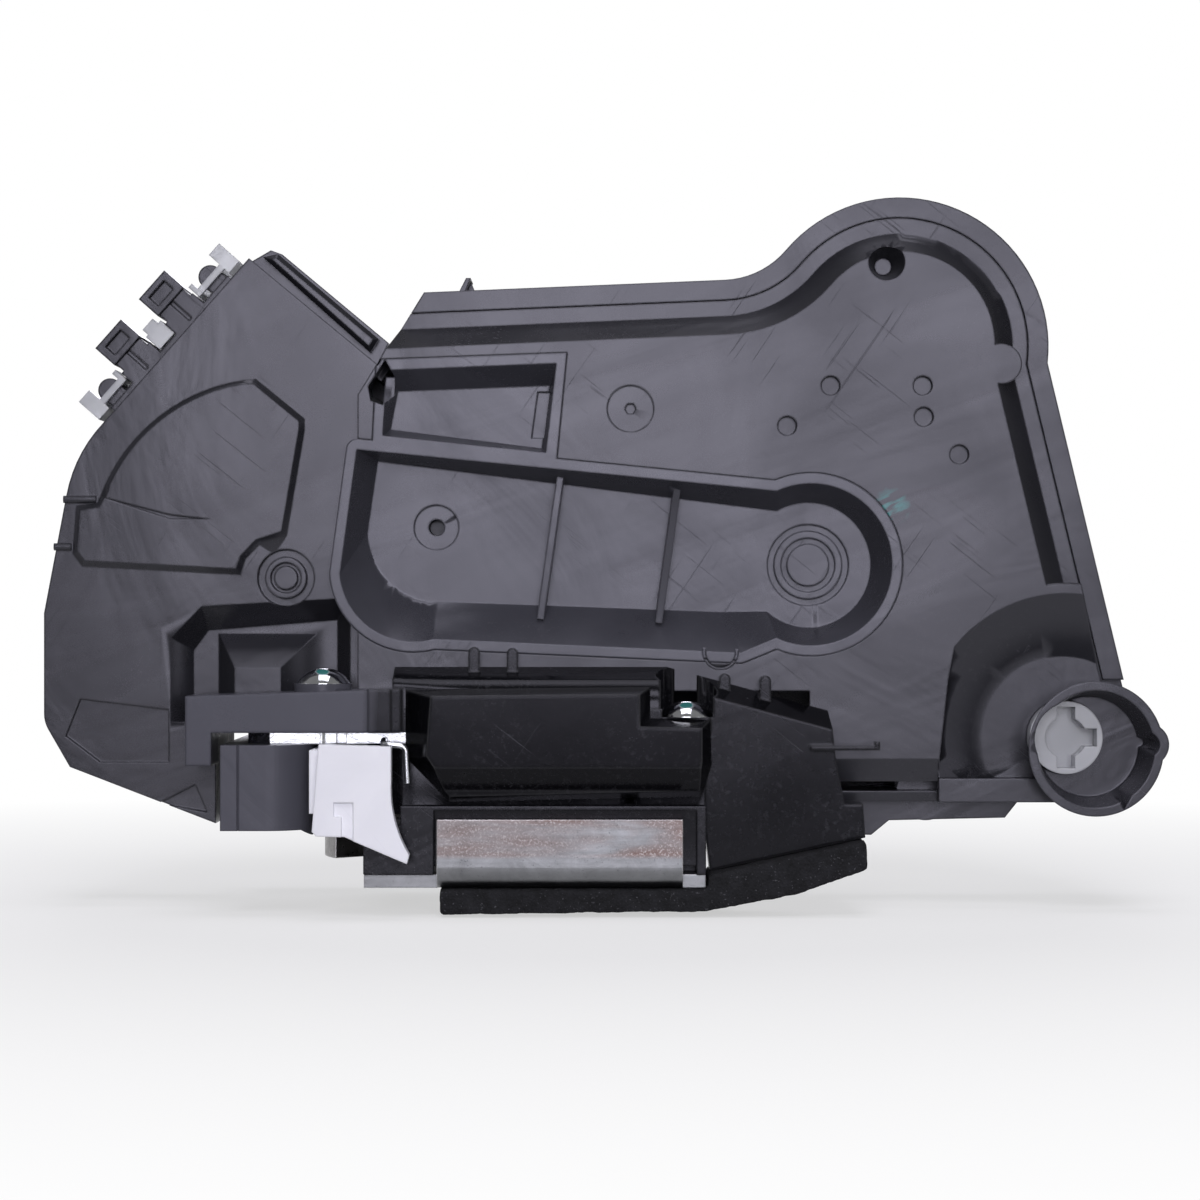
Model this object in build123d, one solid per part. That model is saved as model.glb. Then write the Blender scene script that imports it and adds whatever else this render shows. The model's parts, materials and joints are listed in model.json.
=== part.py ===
"""Vehicle door latch with its lock actuator, as separate pieces.

Frame: +X to the right and +Z up as the actuator is looked at from the cabin side, +Y away
from the cabin. X = 0 is the middle of the striker mouth and Z = 0 the outer face of the
steel plate that is bolted to the door. All sizes are in millimetres.
"""
from build123d import *
from math import atan2, cos, degrees, pi, radians, sin, sqrt, tan
import os

# ---------------------------------------------------------------- driving sizes
WALL = 2.0                  # moulded wall of the cover and the rear housing
FIT = 0.05                  # radial running clearance of a shaft in its bore
GAP = 0.3                   # clearance between parts that don't run in each other
CUT = 1.0                   # how far a cutting solid stands proud of what it cuts
SEAM = 0.06                 # joint between a piece and the edge it is pressed into

# depths (Y) of the front cover's levels, from the raised tray to the back of the housing
TRAY_Y = 0.0
LEFT_Y = 3.5
FLANGE_Y = 5.5
PARTING_Y = 9.0
CHANNEL_DEPTH = 9.0
REAR_Y = 34.0
REAR_CHAMFER = 3.0
RIDGE_Y = 5.6               # front of the ridge along the housing's upper left edge

# right-hand tray
TRAY_LEFT = 2.7
TRAY_BOTTOM = 36.0
TRAY_TOP_LEFT = (8.0, 100.6)
TRAY_TOP_SLOPE = 2.4        # degrees that the top edge climbs to the right
BUMP_X, BUMP_Z, BUMP_R = 105.5, 101.5, 17.5
BUMP_FILLET = 27.0
TRAY_SLOPE_RUN = 4.0        # width of the sloped wall round the tray
FLANGE_RUN = 6.9            # from the tray's edge to the parting line
REAR_RUN = 10.9             # from the tray's edge to the rear housing's outside
RIGHT_EDGE_FOOT = (133.4, 53.0)
RIGHT_EDGE_LEAN = 76.5      # degrees from level
COVER_RIGHT_BOTTOM = 15.0
COVER_LOWER_LEFT = 88.0     # left end of the cover's part below the middle's lower edge
SILL_TOP = 23.2             # where the tray starts to slope back to its bottom edge
COVER_CORNER_R = 11.0

# left-hand area
LEFT_CORNER = (-18.2, 118.1)
EDGE_FOOT = (-45.9, 86.8)
SIDE_TOP = (-52.9, 72.9)
SIDE_X = -57.1
SIDE_BOTTOM = 30.0
FOOT_LEFT = (-52.2, 21.5)
FOOT_RIGHT = (-24.5, 10.8)
MIDDLE_BOTTOM = 33.0        # lower edge of the cover above the latch

# long ribbed channel
CHANNEL_END = (88.3, 59.9)
CHANNEL_FLOOR_R = 12.0
CHANNEL_RIM_R = 15.3
CHANNEL_HOLE = (17.1, 67.1)
HOLE_SEAT_R, HOLE_SUNK = 4.3, 1.1   # shallow seat round the screw hole in the channel
SCREW_BOSS_BACK = 20.0      # back ends of the two screw bosses behind the cover
CHANNEL_RIB = 1.3
CHANNEL_RIB_RISE = 4.5

# smaller features of the cover
FAN_RISE = 1.1              # height of the fan-shaped field above the left-hand area
POCKET_DEPTH = 5.0          # trapezium pocket in the tray
SCREW_HEAD_R, SCREW_HEAD_T = 3.3, 1.8
SCREW_SHANK_R = 1.5
SCREW_BOSS_R = 3.6
SCREW_SUNK = 2.4            # depth of the screw heads' seats in the back of the housing
TOP_SCREW = (102.6, 117.0)
TOP_POCKET = (3.4, 1.65, 8.7)       # mouth radius, floor radius and depth of its pocket
BOSS = (-11.2, 57.4)        # ring boss in the left-hand area
PITS = ((92.0, 93.7), (109.4, 93.7), (109.6, 87.8), (116.3, 80.7), (83.8, 86.1))
PIT_R = 1.8
RECESS_Y = 8.0              # floor of the recess above the mouth's bracket

# lock cylinder coupling
KEY_X, KEY_Z = 136.5, 27.2
KEY_R = 6.9
KEY_FRONT_Y = 0.5
KEY_BEARING_Y = 8.7         # back end of the coupling's bearing in the cover
KEY_HUB_BACK = 29.8         # back end of the key lever's hub
DISH_R = 27.3
DISH_DEPTH = 4.6
COLLAR_FRONT_Y = -7.0
COLLAR_WALL = 1.5

# latch: plates, claw and pawl
PLATE_T = 2.5
BACK_PLATE_Z = 26.4
BACK_PLATE_T = 2.2
MOUTH_LEFT, MOUTH_RIGHT = -5.2, 4.8
MOUTH_END_Y = 20.5
LATCH_FRONT_Y = -14.0
LATCH_BACK_Y = 46.0
LATCH_LEFT, LATCH_RIGHT = -21.6, 68.0
BLOCK_BOTTOM = 10.6         # underside of the block left of the mouth
DECK_TOP = MIDDLE_BOTTOM
FLANGE_LEFT, FLANGE_RIGHT, FLANGE_TOP = 18.4, 63.7, 12.8
FLANGE_FRONT_Y = -15.5
BEND_R = 4.0
COVER_BASE_Y, COVER_FACE_Y = -9.0, -17.0
FRAME_FRONT_Y = -12.0
CLAW_X, CLAW_Y, CLAW_R = 19.0, 12.0, 23.4
CLAW_Z, CLAW_T = 4.4, 8.0
CLAW_SLOT = 10.6
CLAW_OPEN_ANGLE = 222.0
PAWL_X, PAWL_Y = 54.0, -2.0
PAWL_HUB_R = 5.6
PAWL_TIP = (43.6, 16.6)
LIFT_PIN = (51.0, 16.5)     # pin on the pawl that the release lever pushes
LIFT_PIN_R = 2.0
SPRING_TOP = 21.0           # top of the room for the two torsion springs
PIN_R = 4.0
RIVET_R = 3.0
BOLT_R = 3.0                # M6 fixing bolts of the face plate
BOLT_PLACES = ((10.5, 39.5), (46.0, 37.0), (62.0, 16.0))
COLLAR_R, COLLAR_RISE = 5.0, 3.0
FRAME_SCREW_R, FRAME_HEAD_R, FRAME_HEAD_RISE = 2.4, 5.1, 3.0
FRAME_SCREWS = ((-3.3, -6.0, 37.6), (64.6, -5.6, 31.4))     # x, y and height of each seat

# lock drive
WORM_PITCH = 3.0
GEAR_TEETH = 28
GEAR_T = 6.0
GEAR_X, GEAR_Z = 88.3, 59.9
WORM_ROOT_R, WORM_TIP_R = 2.3, 3.8
TOOTH_DEPTH = 1.45
DRIVE_Y = 22.0
GEAR_PHASE = 180 / GEAR_TEETH       # half a tooth: sets the gear's teeth beside the thread
GEAR_PIN_R = 2.5
GEAR_HUB_BACK = DRIVE_Y + 8
WORM_X0, WORM_X1, WORM_TURNS = 79.0, 97.6, 5
SHAFT_R = 1.5
MOTOR_X0, MOTOR_LENGTH = 44.0, 28.0
MOTOR_R, MOTOR_HALF = 10.0, 7.5     # round sides and flat sides of the motor can
LEVER_PIN_R = 2.0
LEVER_T = 3.0
LEVERS = {                  # pivot x and z, front of the lever, front end of its pin
    "lock": (70.0, 46.0, 27.4, 26.0),
    "release": (40.0, 56.0, 15.0, 14.0),
    "inside": (8.0, 66.0, 15.0, 14.0),
}
CABLE_R = 3.0               # hole for the inside handle's cable
CABLE_Y, CABLE_Z = 16.5, 45.5
CABLE_BUSH_R, CABLE_BUSH_LENGTH = 4.5, 5.0

# electrical parts
CONNECTOR_FRONT_Y, CONNECTOR_BACK_Y = 12.0, 28.0
SHROUDS = (13.0, 25.6)      # middles of the two shrouds along the slanted edge
TERMINAL_YS = (16.5, 20.0, 23.5)
CARRIER_Y, CARRIER_T = 21.2, 1.6
CARRIER_POSTS = ((-34.0, 80.0), (-15.0, 102.0), (10.0, 81.0))

GEAR_PITCH_R = GEAR_TEETH * WORM_PITCH / (2 * pi)
WORM_Z = GEAR_Z + GEAR_PITCH_R + 3.2


# ---------------------------------------------------------------- helpers
def slab(outline, back, front, taper=0):
    """Solid of a front-view outline (x = X, y = Z) between two depths."""
    return extrude(Plane.XZ.offset(-back) * outline, amount=back - front, taper=taper)


def plate(outline, bottom, top, taper=0):
    """Solid of a top-view outline (x = X, y = Y) between two heights."""
    return extrude(Plane.XY.offset(bottom) * outline, amount=top - bottom, taper=taper)


def shape(*points):
    """Filled polygon through the given corners, wherever they lie."""
    return make_face(Polyline(*points, close=True))


def disc(x, y, radius):
    return Pos(x, y) * Circle(radius)


def rod_y(x, z, radius, back, front):
    """Round bar along Y."""
    return slab(disc(x, z, radius), back, front)


def rod_z(x, y, radius, bottom, top):
    """Round bar along Z."""
    return plate(disc(x, y, radius), bottom, top)


def rod_x(y, z, radius, left, right):
    """Round bar along X."""
    return extrude(Plane.YZ.offset(left) * disc(y, z, radius), amount=right - left)


def box(x0, x1, y0, y1, z0, z1):
    return Pos((x0 + x1) / 2, (y0 + y1) / 2, (z0 + z1) / 2) * Box(x1 - x0, y1 - y0, z1 - z0)


def nearest_vertex(sketch, x, y):
    return sorted(sketch.vertices(), key=lambda v: (v.X - x) ** 2 + (v.Y - y) ** 2)[0]


def link(x0, y0, r0, x1, y1, r1):
    """Outline of a lever arm: two rounds joined by straight sides."""
    length = sqrt((x1 - x0) ** 2 + (y1 - y0) ** 2)
    turn = degrees(atan2(y1 - y0, x1 - x0))
    lean = (r0 - r1) / length
    rise = sqrt(1 - lean ** 2)
    side = [(r0 * lean, r0 * rise), (length + r1 * lean, r1 * rise),
            (length + r1 * lean, -r1 * rise), (r0 * lean, -r0 * rise)]
    arm = shape(*side) + Circle(r0) + disc(length, 0, r1)
    return Pos(x0, y0) * Rot(0, 0, turn) * arm


PARTS = {}


def keep(name, solid):
    PARTS[name] = solid


# ---------------------------------------------------------------- outlines
def tray_outline(out):
    """Front outline of the right-hand box, `out` mm outside the edge of its raised face.

    The top and right edges move outwards with `out`; the left and bottom edges stay.
    """
    slope = tan(radians(TRAY_TOP_SLOPE))
    lift = out / cos(radians(TRAY_TOP_SLOPE))
    left_x, left_z = TRAY_TOP_LEFT
    lean = (left_x - TRAY_LEFT) / (left_z - 92.0)
    top_left_x = (left_x + lean * lift) / (1 - lean * slope) - lean * slope * left_x
    top_left_z = left_z + lift + slope * (top_left_x - left_x)
    top_right_z = left_z + lift + slope * (BUMP_X - left_x)
    foot_x = RIGHT_EDGE_FOOT[0] + out / sin(radians(RIGHT_EDGE_LEAN))
    run = 1 / tan(radians(RIGHT_EDGE_LEAN))
    foot_z = RIGHT_EDGE_FOOT[1]
    shoulder = (foot_x - run * (BUMP_Z - foot_z), BUMP_Z)
    bottom_x = foot_x + run * (foot_z - COVER_RIGHT_BOTTOM)
    body = shape((TRAY_LEFT, TRAY_BOTTOM), (TRAY_LEFT, 92.0), (top_left_x, top_left_z),
                 (BUMP_X, top_right_z), shoulder, (bottom_x, COVER_RIGHT_BOTTOM),
                 (COVER_LOWER_LEFT, COVER_RIGHT_BOTTOM), (COVER_LOWER_LEFT, TRAY_BOTTOM))
    radius = BUMP_R + out
    outline = body + disc(BUMP_X, BUMP_Z, radius)
    meet = sqrt(radius ** 2 - (top_right_z - BUMP_Z) ** 2)
    corner = nearest_vertex(outline, BUMP_X - meet, top_right_z)
    return fillet(corner, BUMP_FILLET - out)


def left_outline():
    """Front outline of the left-hand area, down to the row of connectors and the mouth."""
    round_side = ThreePointArc(EDGE_FOOT, (-50.4, 80.4), SIDE_TOP)
    edges = Line(LEFT_CORNER, EDGE_FOOT) + round_side + Polyline(
        SIDE_TOP, (SIDE_X, 50.7), (SIDE_X, SIDE_BOTTOM), FOOT_LEFT, FOOT_RIGHT,
        (FOOT_RIGHT[0], MIDDLE_BOTTOM), (40.0, MIDDLE_BOTTOM), (40.0, 70.0), LEFT_CORNER)
    outline = make_face(edges)
    return fillet(nearest_vertex(outline, SIDE_X, SIDE_BOTTOM), 6.0)


def tray_base():
    """Whole right-hand outline at the parting line, down to the middle's lower edge."""
    middle = shape((20, MIDDLE_BOTTOM), (110, MIDDLE_BOTTOM), (110, 60), (20, 60))
    base = tray_outline(FLANGE_RUN) + middle
    corner = nearest_vertex(base, 150.0, COVER_RIGHT_BOTTOM)
    return fillet(corner, COVER_CORNER_R)


def cover_outline():
    return left_outline() + tray_base()


def channel_outline(rim):
    """The channel's outline at its floor, or at its rim: a long slot with a round end."""
    cx, cz = CHANNEL_END
    if rim:
        radius, top, foot = CHANNEL_RIM_R, 115.0, 245.0
        corner, jog = (2.5, 81.6), (75.0, 43.2)
        bottom, curve = [(17.0, 45.8)], (5.2, 47.8)
        left = (-0.7, 58.0)
    else:
        radius, top, foot = CHANNEL_FLOOR_R, 120.0, 228.0
        corner, jog = (5.9, 79.8), (71.5, 50.9)
        bottom, curve = [(17.5, 52.9)], (8.3, 56.6)
        left = (3.9, 66.0)
    head = (cx + radius * cos(radians(top)), cz + radius * sin(radians(top)))
    tail = (cx + radius * cos(radians(foot)), cz + radius * sin(radians(foot)))
    nose = (cx + radius, cz)
    edges = (Line(corner, head) + ThreePointArc(head, nose, tail)
             + Polyline(tail, jog, *bottom) + ThreePointArc(bottom[0], curve, left)
             + Line(left, corner))
    return make_face(edges)


def channel_solid(grow=0.0):
    """Solid of the channel's hollow; with `grow`, the tub round it."""
    front = Plane.XZ.offset(-(TRAY_Y - 0.01)) * offset(channel_outline(True), grow)
    back = Plane.XZ.offset(-(CHANNEL_DEPTH + grow)) * offset(channel_outline(False), grow)
    return loft([front, back], ruled=True)


# ---------------------------------------------------------------- front cover
def cover_volume(inset):
    """Everything inside the cover's outside faces, moved inwards by `inset`."""
    back = PARTING_Y + (CUT if inset else 0)
    flange = slab(offset(cover_outline(), -inset), back, FLANGE_Y + inset)
    left = slab(offset(left_outline(), -inset), back, LEFT_Y + inset)
    foot = Plane.XZ.offset(-(FLANGE_Y + inset)) * offset(tray_outline(TRAY_SLOPE_RUN), -inset)
    top = Plane.XZ.offset(-(TRAY_Y + inset)) * offset(tray_outline(0), -inset)
    return flange + left + loft([foot, top], ruled=True)


def prism_between(front_points, back_points, front, back):
    """Solid with straight sides between two outlines that have as many corners."""
    near = Plane.XZ.offset(-front) * shape(*front_points)
    far = Plane.XZ.offset(-back) * shape(*back_points)
    return loft([near, far], ruled=True)


def grown(points, by):
    """Corners of an outline moved away from its middle by about `by` each way."""
    mx = sum(p[0] for p in points) / len(points)
    mz = sum(p[1] for p in points) / len(points)
    return [(x + (by if x > mx else -by), z + (by if z > mz else -by)) for x, z in points]


def trapezium(grow=0.0):
    """Sloped pocket at the tray's left end."""
    rim = [(8.2, 96.6), (40.2, 97.9), (38.2, 81.0), (7.4, 84.2)]
    floor = [(10.0, 92.9), (38.9, 94.0), (37.4, 82.0), (8.6, 85.6)]
    return prism_between(grown(rim, grow), grown(floor, grow), TRAY_Y - 0.01, POCKET_DEPTH + grow)


def lower_recess(grow=0.0):
    """Sloped recess above the mouth's bracket, open at the bottom."""
    rim = [(-33.0, 30.0), (-33.0, 46.0), (-27.2, 52.0), (1.0, 53.6), (1.0, 30.0)]
    floor = [(-29.2, 30.0), (-29.2, 43.6), (-26.4, 47.4), (-1.7, 49.4), (-1.7, 30.0)]
    return prism_between(grown(rim, grow), grown(floor, grow), LEFT_Y - 0.01, RECESS_Y + grow)


def key_dish(grow=0.0):
    """Turned hollow round the lock cylinder coupling, cut off along the tray's crease."""
    profile = Plane.XY * make_face(Polyline(
        (0, TRAY_Y - 0.01), (DISH_R + grow, TRAY_Y - 0.01), (DISH_R - 7 + grow, 2.6 + grow),
        (DISH_R - 12 + grow, DISH_DEPTH + grow), (0, DISH_DEPTH + grow), close=True))
    turned = Pos(KEY_X, 0, KEY_Z) * revolve(profile, Axis.Y)
    side = shape((112.2 - grow, 19.5 - grow), (114.2 - grow, 38.0), (116.4 - grow, 49.4 + grow),
                 (131.0, 62.0 + grow), (170.0, 62.0 + grow), (170.0, 19.5 - grow))
    return turned & slab(side, 20, -5)


def collar_outline(inset):
    """Drop-shaped outline of the funnel's visor."""
    round_part = disc(141.0, 25.4, 12.6 - inset)
    point = disc(150.6, 26.2, 4.0 - inset)
    bridge = shape((141.0, 25.4 + 12.6 - inset), (150.6, 26.2 + 4.0 - inset),
                   (150.6, 26.2 - 4.0 + inset), (146.5, 14.5 + inset))
    return round_part + point + bridge


def tub_limit():
    """Room behind the cover's outside faces that its tubs may take."""
    room = slab(offset(cover_outline(), -0.4), PARTING_Y, TRAY_Y)
    return room + slab(offset(cover_outline(), -WALL - GAP), 30, PARTING_Y - 0.5)


def insert_solid(grow):
    """Hollows of the channel and the trapezium pocket; with `grow`, the tubs round them."""
    return channel_solid(grow) + trapezium(grow)


def face_marks():
    """Leaf-shaped hole, ring mark and slot, cut in both the cover and its insert."""
    leaf = shape((7.9, 98.6), (4.7, 93.6), (5.2, 90.8), (7.4, 90.0), (9.4, 92.0), (9.6, 95.4))
    ring = disc(71.2, 43.4, 3.4) - disc(71.2, 43.4, 2.8)
    slot = shape((35.4, 84.0), (36.6, 92.8), (39.2, 92.8), (38.0, 84.0))
    return (slab(leaf, FLANGE_Y, TRAY_Y - CUT) + slab(ring, TRAY_Y + 0.8, TRAY_Y - CUT)
            + slab(slot, POCKET_DEPTH + 1.2, POCKET_DEPTH - CUT))


def make_front_cover():
    body = cover_volume(0) - cover_volume(WALL)
    body = body + ((lower_recess(WALL) + key_dish(WALL)) & tub_limit())
    disc_boss = rod_y(124.3, 97.8, 3.8, FLANGE_Y + 1, TRAY_Y)
    mouth_r, floor_r, depth = TOP_POCKET
    x, z = TOP_SCREW
    pocket_wall = rod_y(x, z, mouth_r + WALL, depth + WALL, TRAY_Y + 1) & cover_volume(0.01)
    body = body + disc_boss + pocket_wall + rod_y(x, z, SCREW_BOSS_R, SCREW_BOSS_BACK, depth)
    body = body - insert_solid(WALL + SEAM) - lower_recess() - key_dish()
    body = body - slab(collar_outline(1.6 - SEAM), DISH_DEPTH, TRAY_Y - CUT, taper=-8)
    body = body - slab(disc(x, z, floor_r), depth, TRAY_Y - CUT,
                       taper=-degrees(atan2(mouth_r - floor_r, depth)))
    body = body - rod_y(x, z, SCREW_SHANK_R + FIT, SCREW_BOSS_BACK + CUT, depth + WALL)

    # sill that slopes back under the tray, moulded pits and gate mark
    sill = Plane.YZ.offset(COVER_LOWER_LEFT - CUT) * shape(
        (TRAY_Y, SILL_TOP), (1.6, 18.9), (2.6, 18.9), (3.6, COVER_RIGHT_BOTTOM - CUT),
        (TRAY_Y - CUT, COVER_RIGHT_BOTTOM - CUT), (TRAY_Y - CUT, SILL_TOP))
    body = body - extrude(sill, amount=112.4 - COVER_LOWER_LEFT + CUT)
    for x, z in PITS:
        body = body - rod_y(x, z, PIT_R, TRAY_Y + 1.5, TRAY_Y - CUT)
    body = body - rod_y(54.2, 89.3, 4.4, TRAY_Y + 0.25, TRAY_Y - CUT)
    body = body - slab(Pos(54.2, 89.3) * RegularPolygon(1.1, 6), TRAY_Y + 1.2, TRAY_Y - CUT)
    body = body - face_marks()

    # left-hand area: fan-shaped field, ring boss, crease, ribs and the lower recessed panel
    fan_edges = (ThreePointArc((-46.4, 72.7), (-35.3, 88.0), (-16.9, 95.2))
                 + Polyline((-16.9, 95.2), (-7.6, 87.6), (-7.6, 85.4), (-11.0, 65.4),
                            (-16.2, 63.7), (-18.8, 61.0), (-19.8, 58.0), (-49.8, 59.6),
                            (-51.6, 62.0), (-50.9, 71.0), (-47.0, 71.6), (-46.4, 72.7)))
    body = body + slab(make_face(fan_edges), LEFT_Y, LEFT_Y - FAN_RISE, taper=45)
    crease = make_face(Polyline((-46.6, 72.9), (-33.1, 69.4), (-25.5, 68.5), (-33.1, 68.6),
                                close=True))
    body = body - slab(crease, LEFT_Y - FAN_RISE + 0.5, LEFT_Y - FAN_RISE - CUT)
    body = body - slab(disc(*BOSS, 5.4) - disc(*BOSS, 3.9), LEFT_Y + 1.7, LEFT_Y - 2)
    body = body - slab(disc(*BOSS, 2.9) - disc(*BOSS, 2.2), LEFT_Y + 1.2, LEFT_Y - 2)
    for z, left, right in ((72.3, -53.4, -47.2), (63.3, -55.2, -51.9)):
        body = body + rod_x(LEFT_Y + 0.1, z, 0.7, left, right)
    panel = shape((-50.2, 34.4), (-53.0, 27.4), (-46.4, 22.4), (-33.4, 22.4), (-33.4, 32.4))
    body = body - slab(panel, LEFT_Y + 0.8, LEFT_Y - CUT)
    window = shape((-35.4, 14.6), (-28.4, 18.2), (-26.2, 12.9))
    body = body - slab(window, LEFT_Y + 1.2, LEFT_Y - CUT)

    # tapered block in the lower recess
    block = prism_between([(-20.8, 30), (-20.8, 40.4), (-12.0, 40.4), (-12.0, 30)],
                          [(-24.4, 30), (-24.4, 46.8), (-5.6, 46.8), (-5.6, 30)], 2.0, RECESS_Y)
    body = body + (block & slab(shape((-40, 33), (20, 33), (20, 60), (-40, 60)), 20, -10))

    # seat of the key guide
    body = body + rod_y(KEY_X, KEY_Z, KEY_R + FIT + WALL, KEY_BEARING_Y, DISH_DEPTH + WALL)
    return body - rod_y(KEY_X, KEY_Z, KEY_R + FIT, 30, -20)


def make_cover_insert():
    """Ribbed channel and trapezium pocket, set flush into the cover."""
    body = insert_solid(WALL) & tub_limit()
    boss_floor = CHANNEL_DEPTH + HOLE_SUNK
    body = body + rod_y(*CHANNEL_HOLE, SCREW_BOSS_R, SCREW_BOSS_BACK, CHANNEL_DEPTH)
    body = body - insert_solid(0) - lower_recess() - face_marks()
    for top, foot in (((40.9, 76.6), (37.1, 49.6)), ((63.1, 74.2), (59.6, 48.9))):
        lean = degrees(atan2(top[1] - foot[1], top[0] - foot[0]))
        length = sqrt((top[0] - foot[0]) ** 2 + (top[1] - foot[1]) ** 2)
        rib = Pos((top[0] + foot[0]) / 2, (top[1] + foot[1]) / 2) * Rot(0, 0, lean) * Rectangle(
            length, CHANNEL_RIB)
        body = body + slab(rib, CHANNEL_DEPTH + 0.5, CHANNEL_DEPTH - CHANNEL_RIB_RISE)
    for outer, inner in ((7.8, 6.5), (5.2, 4.0)):
        ring = disc(*CHANNEL_END, outer) - disc(*CHANNEL_END, inner)
        body = body - slab(ring, CHANNEL_DEPTH + 1.1, CHANNEL_DEPTH - CUT)
    body = body - rod_y(*CHANNEL_HOLE, HOLE_SEAT_R, boss_floor, CHANNEL_DEPTH - CUT)
    return body - rod_y(*CHANNEL_HOLE, SCREW_SHANK_R + FIT, SCREW_BOSS_BACK + CUT, CHANNEL_DEPTH - CUT)


def make_key_guide():
    """Funnel with a drop-shaped visor that leads the lock cylinder's tailpiece in."""
    visor = slab(collar_outline(1.6), DISH_DEPTH - SEAM, COLLAR_FRONT_Y, taper=-8)
    throat = slab(collar_outline(1.6 + COLLAR_WALL), DISH_DEPTH - 1.5, COLLAR_FRONT_Y - CUT, taper=-8)
    return visor - throat - rod_y(KEY_X, KEY_Z, KEY_R + FIT, 30, -20)


# ---------------------------------------------------------------- rear housing
def rear_outline():
    """Outside of the rear housing: it follows the cover, and stands out round the tray."""
    strip = shape((-18.2, 118.1), (-14.6, 120.2), (-12.4, 119.4), (8.0, 102.4), (2.7, 92.0),
                  (-10.0, 100.0))
    tray = tray_outline(REAR_RUN)
    tray = tray & shape((TRAY_LEFT, 11.0), (TRAY_LEFT, 140.0), (160.0, 140.0), (160.0, 11.0))
    middle = shape((20, MIDDLE_BOTTOM), (110, MIDDLE_BOTTOM), (110, 60), (20, 60))
    base = tray + middle
    base = fillet(nearest_vertex(base, 153.7, COVER_RIGHT_BOTTOM), COVER_CORNER_R + 4)
    return base + left_outline() + strip


def hook_clip():
    """Leaning clip on the housing's top edge."""
    leaf = shape((18.9, 107.6), (22.7, 115.1), (23.6, 115.1), (20.6, 107.6))
    web = shape((20.0, 107.6), (23.4, 115.0), (25.2, 110.6), (25.2, 107.6))
    return slab(leaf, 22.0, 11.0) + slab(web, 17.5, 16.0)


def make_rear_housing():
    outer = rear_outline()
    shoulder = REAR_Y - REAR_CHAMFER
    body = slab(outer, shoulder, PARTING_Y)
    body = body + slab(offset(outer, -0.01), REAR_Y, shoulder)
    hollow = slab(offset(cover_outline(), -WALL), REAR_Y - WALL, PARTING_Y - CUT)
    body = body - hollow
    for x, z, _, _ in LEVERS.values():
        body = body + rod_y(x, z, 4.5, REAR_Y - WALL, REAR_Y - WALL - 1.2)
        body = body + rod_y(x, z, 6.0, REAR_Y + 1.2, REAR_Y - 0.5)
        body = body - rod_y(x, z, LEVER_PIN_R + FIT, REAR_Y - 0.6, 20)
    for x, z, thrust in ((GEAR_X, GEAR_Z, GEAR_HUB_BACK), (KEY_X, KEY_Z, KEY_HUB_BACK)):
        body = body + rod_y(x, z, 7.0, REAR_Y + 2.0, REAR_Y - 0.5)
        body = body + rod_y(x, z, 5.0, REAR_Y - 1, thrust + GAP)
        body = body - rod_y(x, z, GEAR_PIN_R + FIT, REAR_Y, 20)
    # posts that meet the cover's two screw bosses, with the screw heads' seats behind
    seat = REAR_Y - SCREW_SUNK
    for x, z in (CHANNEL_HOLE, TOP_SCREW):
        body = body + rod_y(x, z, SCREW_BOSS_R, REAR_Y - 1, SCREW_BOSS_BACK + SEAM)
        body = body + rod_y(x, z, SCREW_HEAD_R + GAP + 1, REAR_Y - 1, seat - WALL)
        body = body - rod_y(x, z, SCREW_HEAD_R + GAP, REAR_Y + CUT, seat)
        body = body - rod_y(x, z, SCREW_SHANK_R + FIT, seat + CUT, SCREW_BOSS_BACK - CUT)
    # motor cradle and carrier posts
    for x in (MOTOR_X0 + 5, MOTOR_X0 + MOTOR_LENGTH - 6):
        cradle = box(x - 1, x + 1, DRIVE_Y + 3, REAR_Y - 1, WORM_Z - 11.5, WORM_Z + 11.5)
        body = body + (cradle - motor_shape(0.05))
    bearing = box(WORM_X1 + 1.4, WORM_X1 + 4, DRIVE_Y - 3, REAR_Y - 1, WORM_Z - 3, WORM_Z + 3)
    body = body + bearing - rod_x(DRIVE_Y, WORM_Z, SHAFT_R + FIT, WORM_X1, WORM_X1 + 6)
    for x, z in CARRIER_POSTS:
        body = body + rod_y(x, z, 2.6, REAR_Y - 1, CARRIER_Y + CARRIER_T)
        body = body - rod_y(x, z, 1.1 + FIT, CARRIER_Y + CARRIER_T + 6, CARRIER_Y)
    # stiffening ribs on the back
    for x in (20.0, 32.0, 104.0, 116.0):
        body = body + box(x - 0.7, x + 0.7, REAR_Y - 0.5, REAR_Y + 1.2, 44.0, 96.0)
    # window of the connector row, slot of the pawl's lift pin, entry of the inside cable
    body = body - edge_box(3.4, 35.6, -WALL - CUT, CUT, CONNECTOR_FRONT_Y - 0.1, CONNECTOR_BACK_Y + 0.1)
    body = body - box(47.5, 59.5, 12.5, 20.5, MIDDLE_BOTTOM - CUT, MIDDLE_BOTTOM + WALL + CUT)
    body = body - rod_x(CABLE_Y, CABLE_Z, CABLE_BUSH_R + SEAM, SIDE_X - CUT, SIDE_X + WALL + CUT)
    # lip below the cover's right half, with the edge of a round boss
    lip = shape((91.5, 16.5), (91.5, 8.4), (100.4, 8.2), (103.8, 11.0), (126.0, 11.5), (130.0, 16.5))
    body = body + slab(lip + disc(110.8, 16.6, 5.6), PARTING_Y + 5, PARTING_Y)
    return body + hook_clip()


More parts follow.
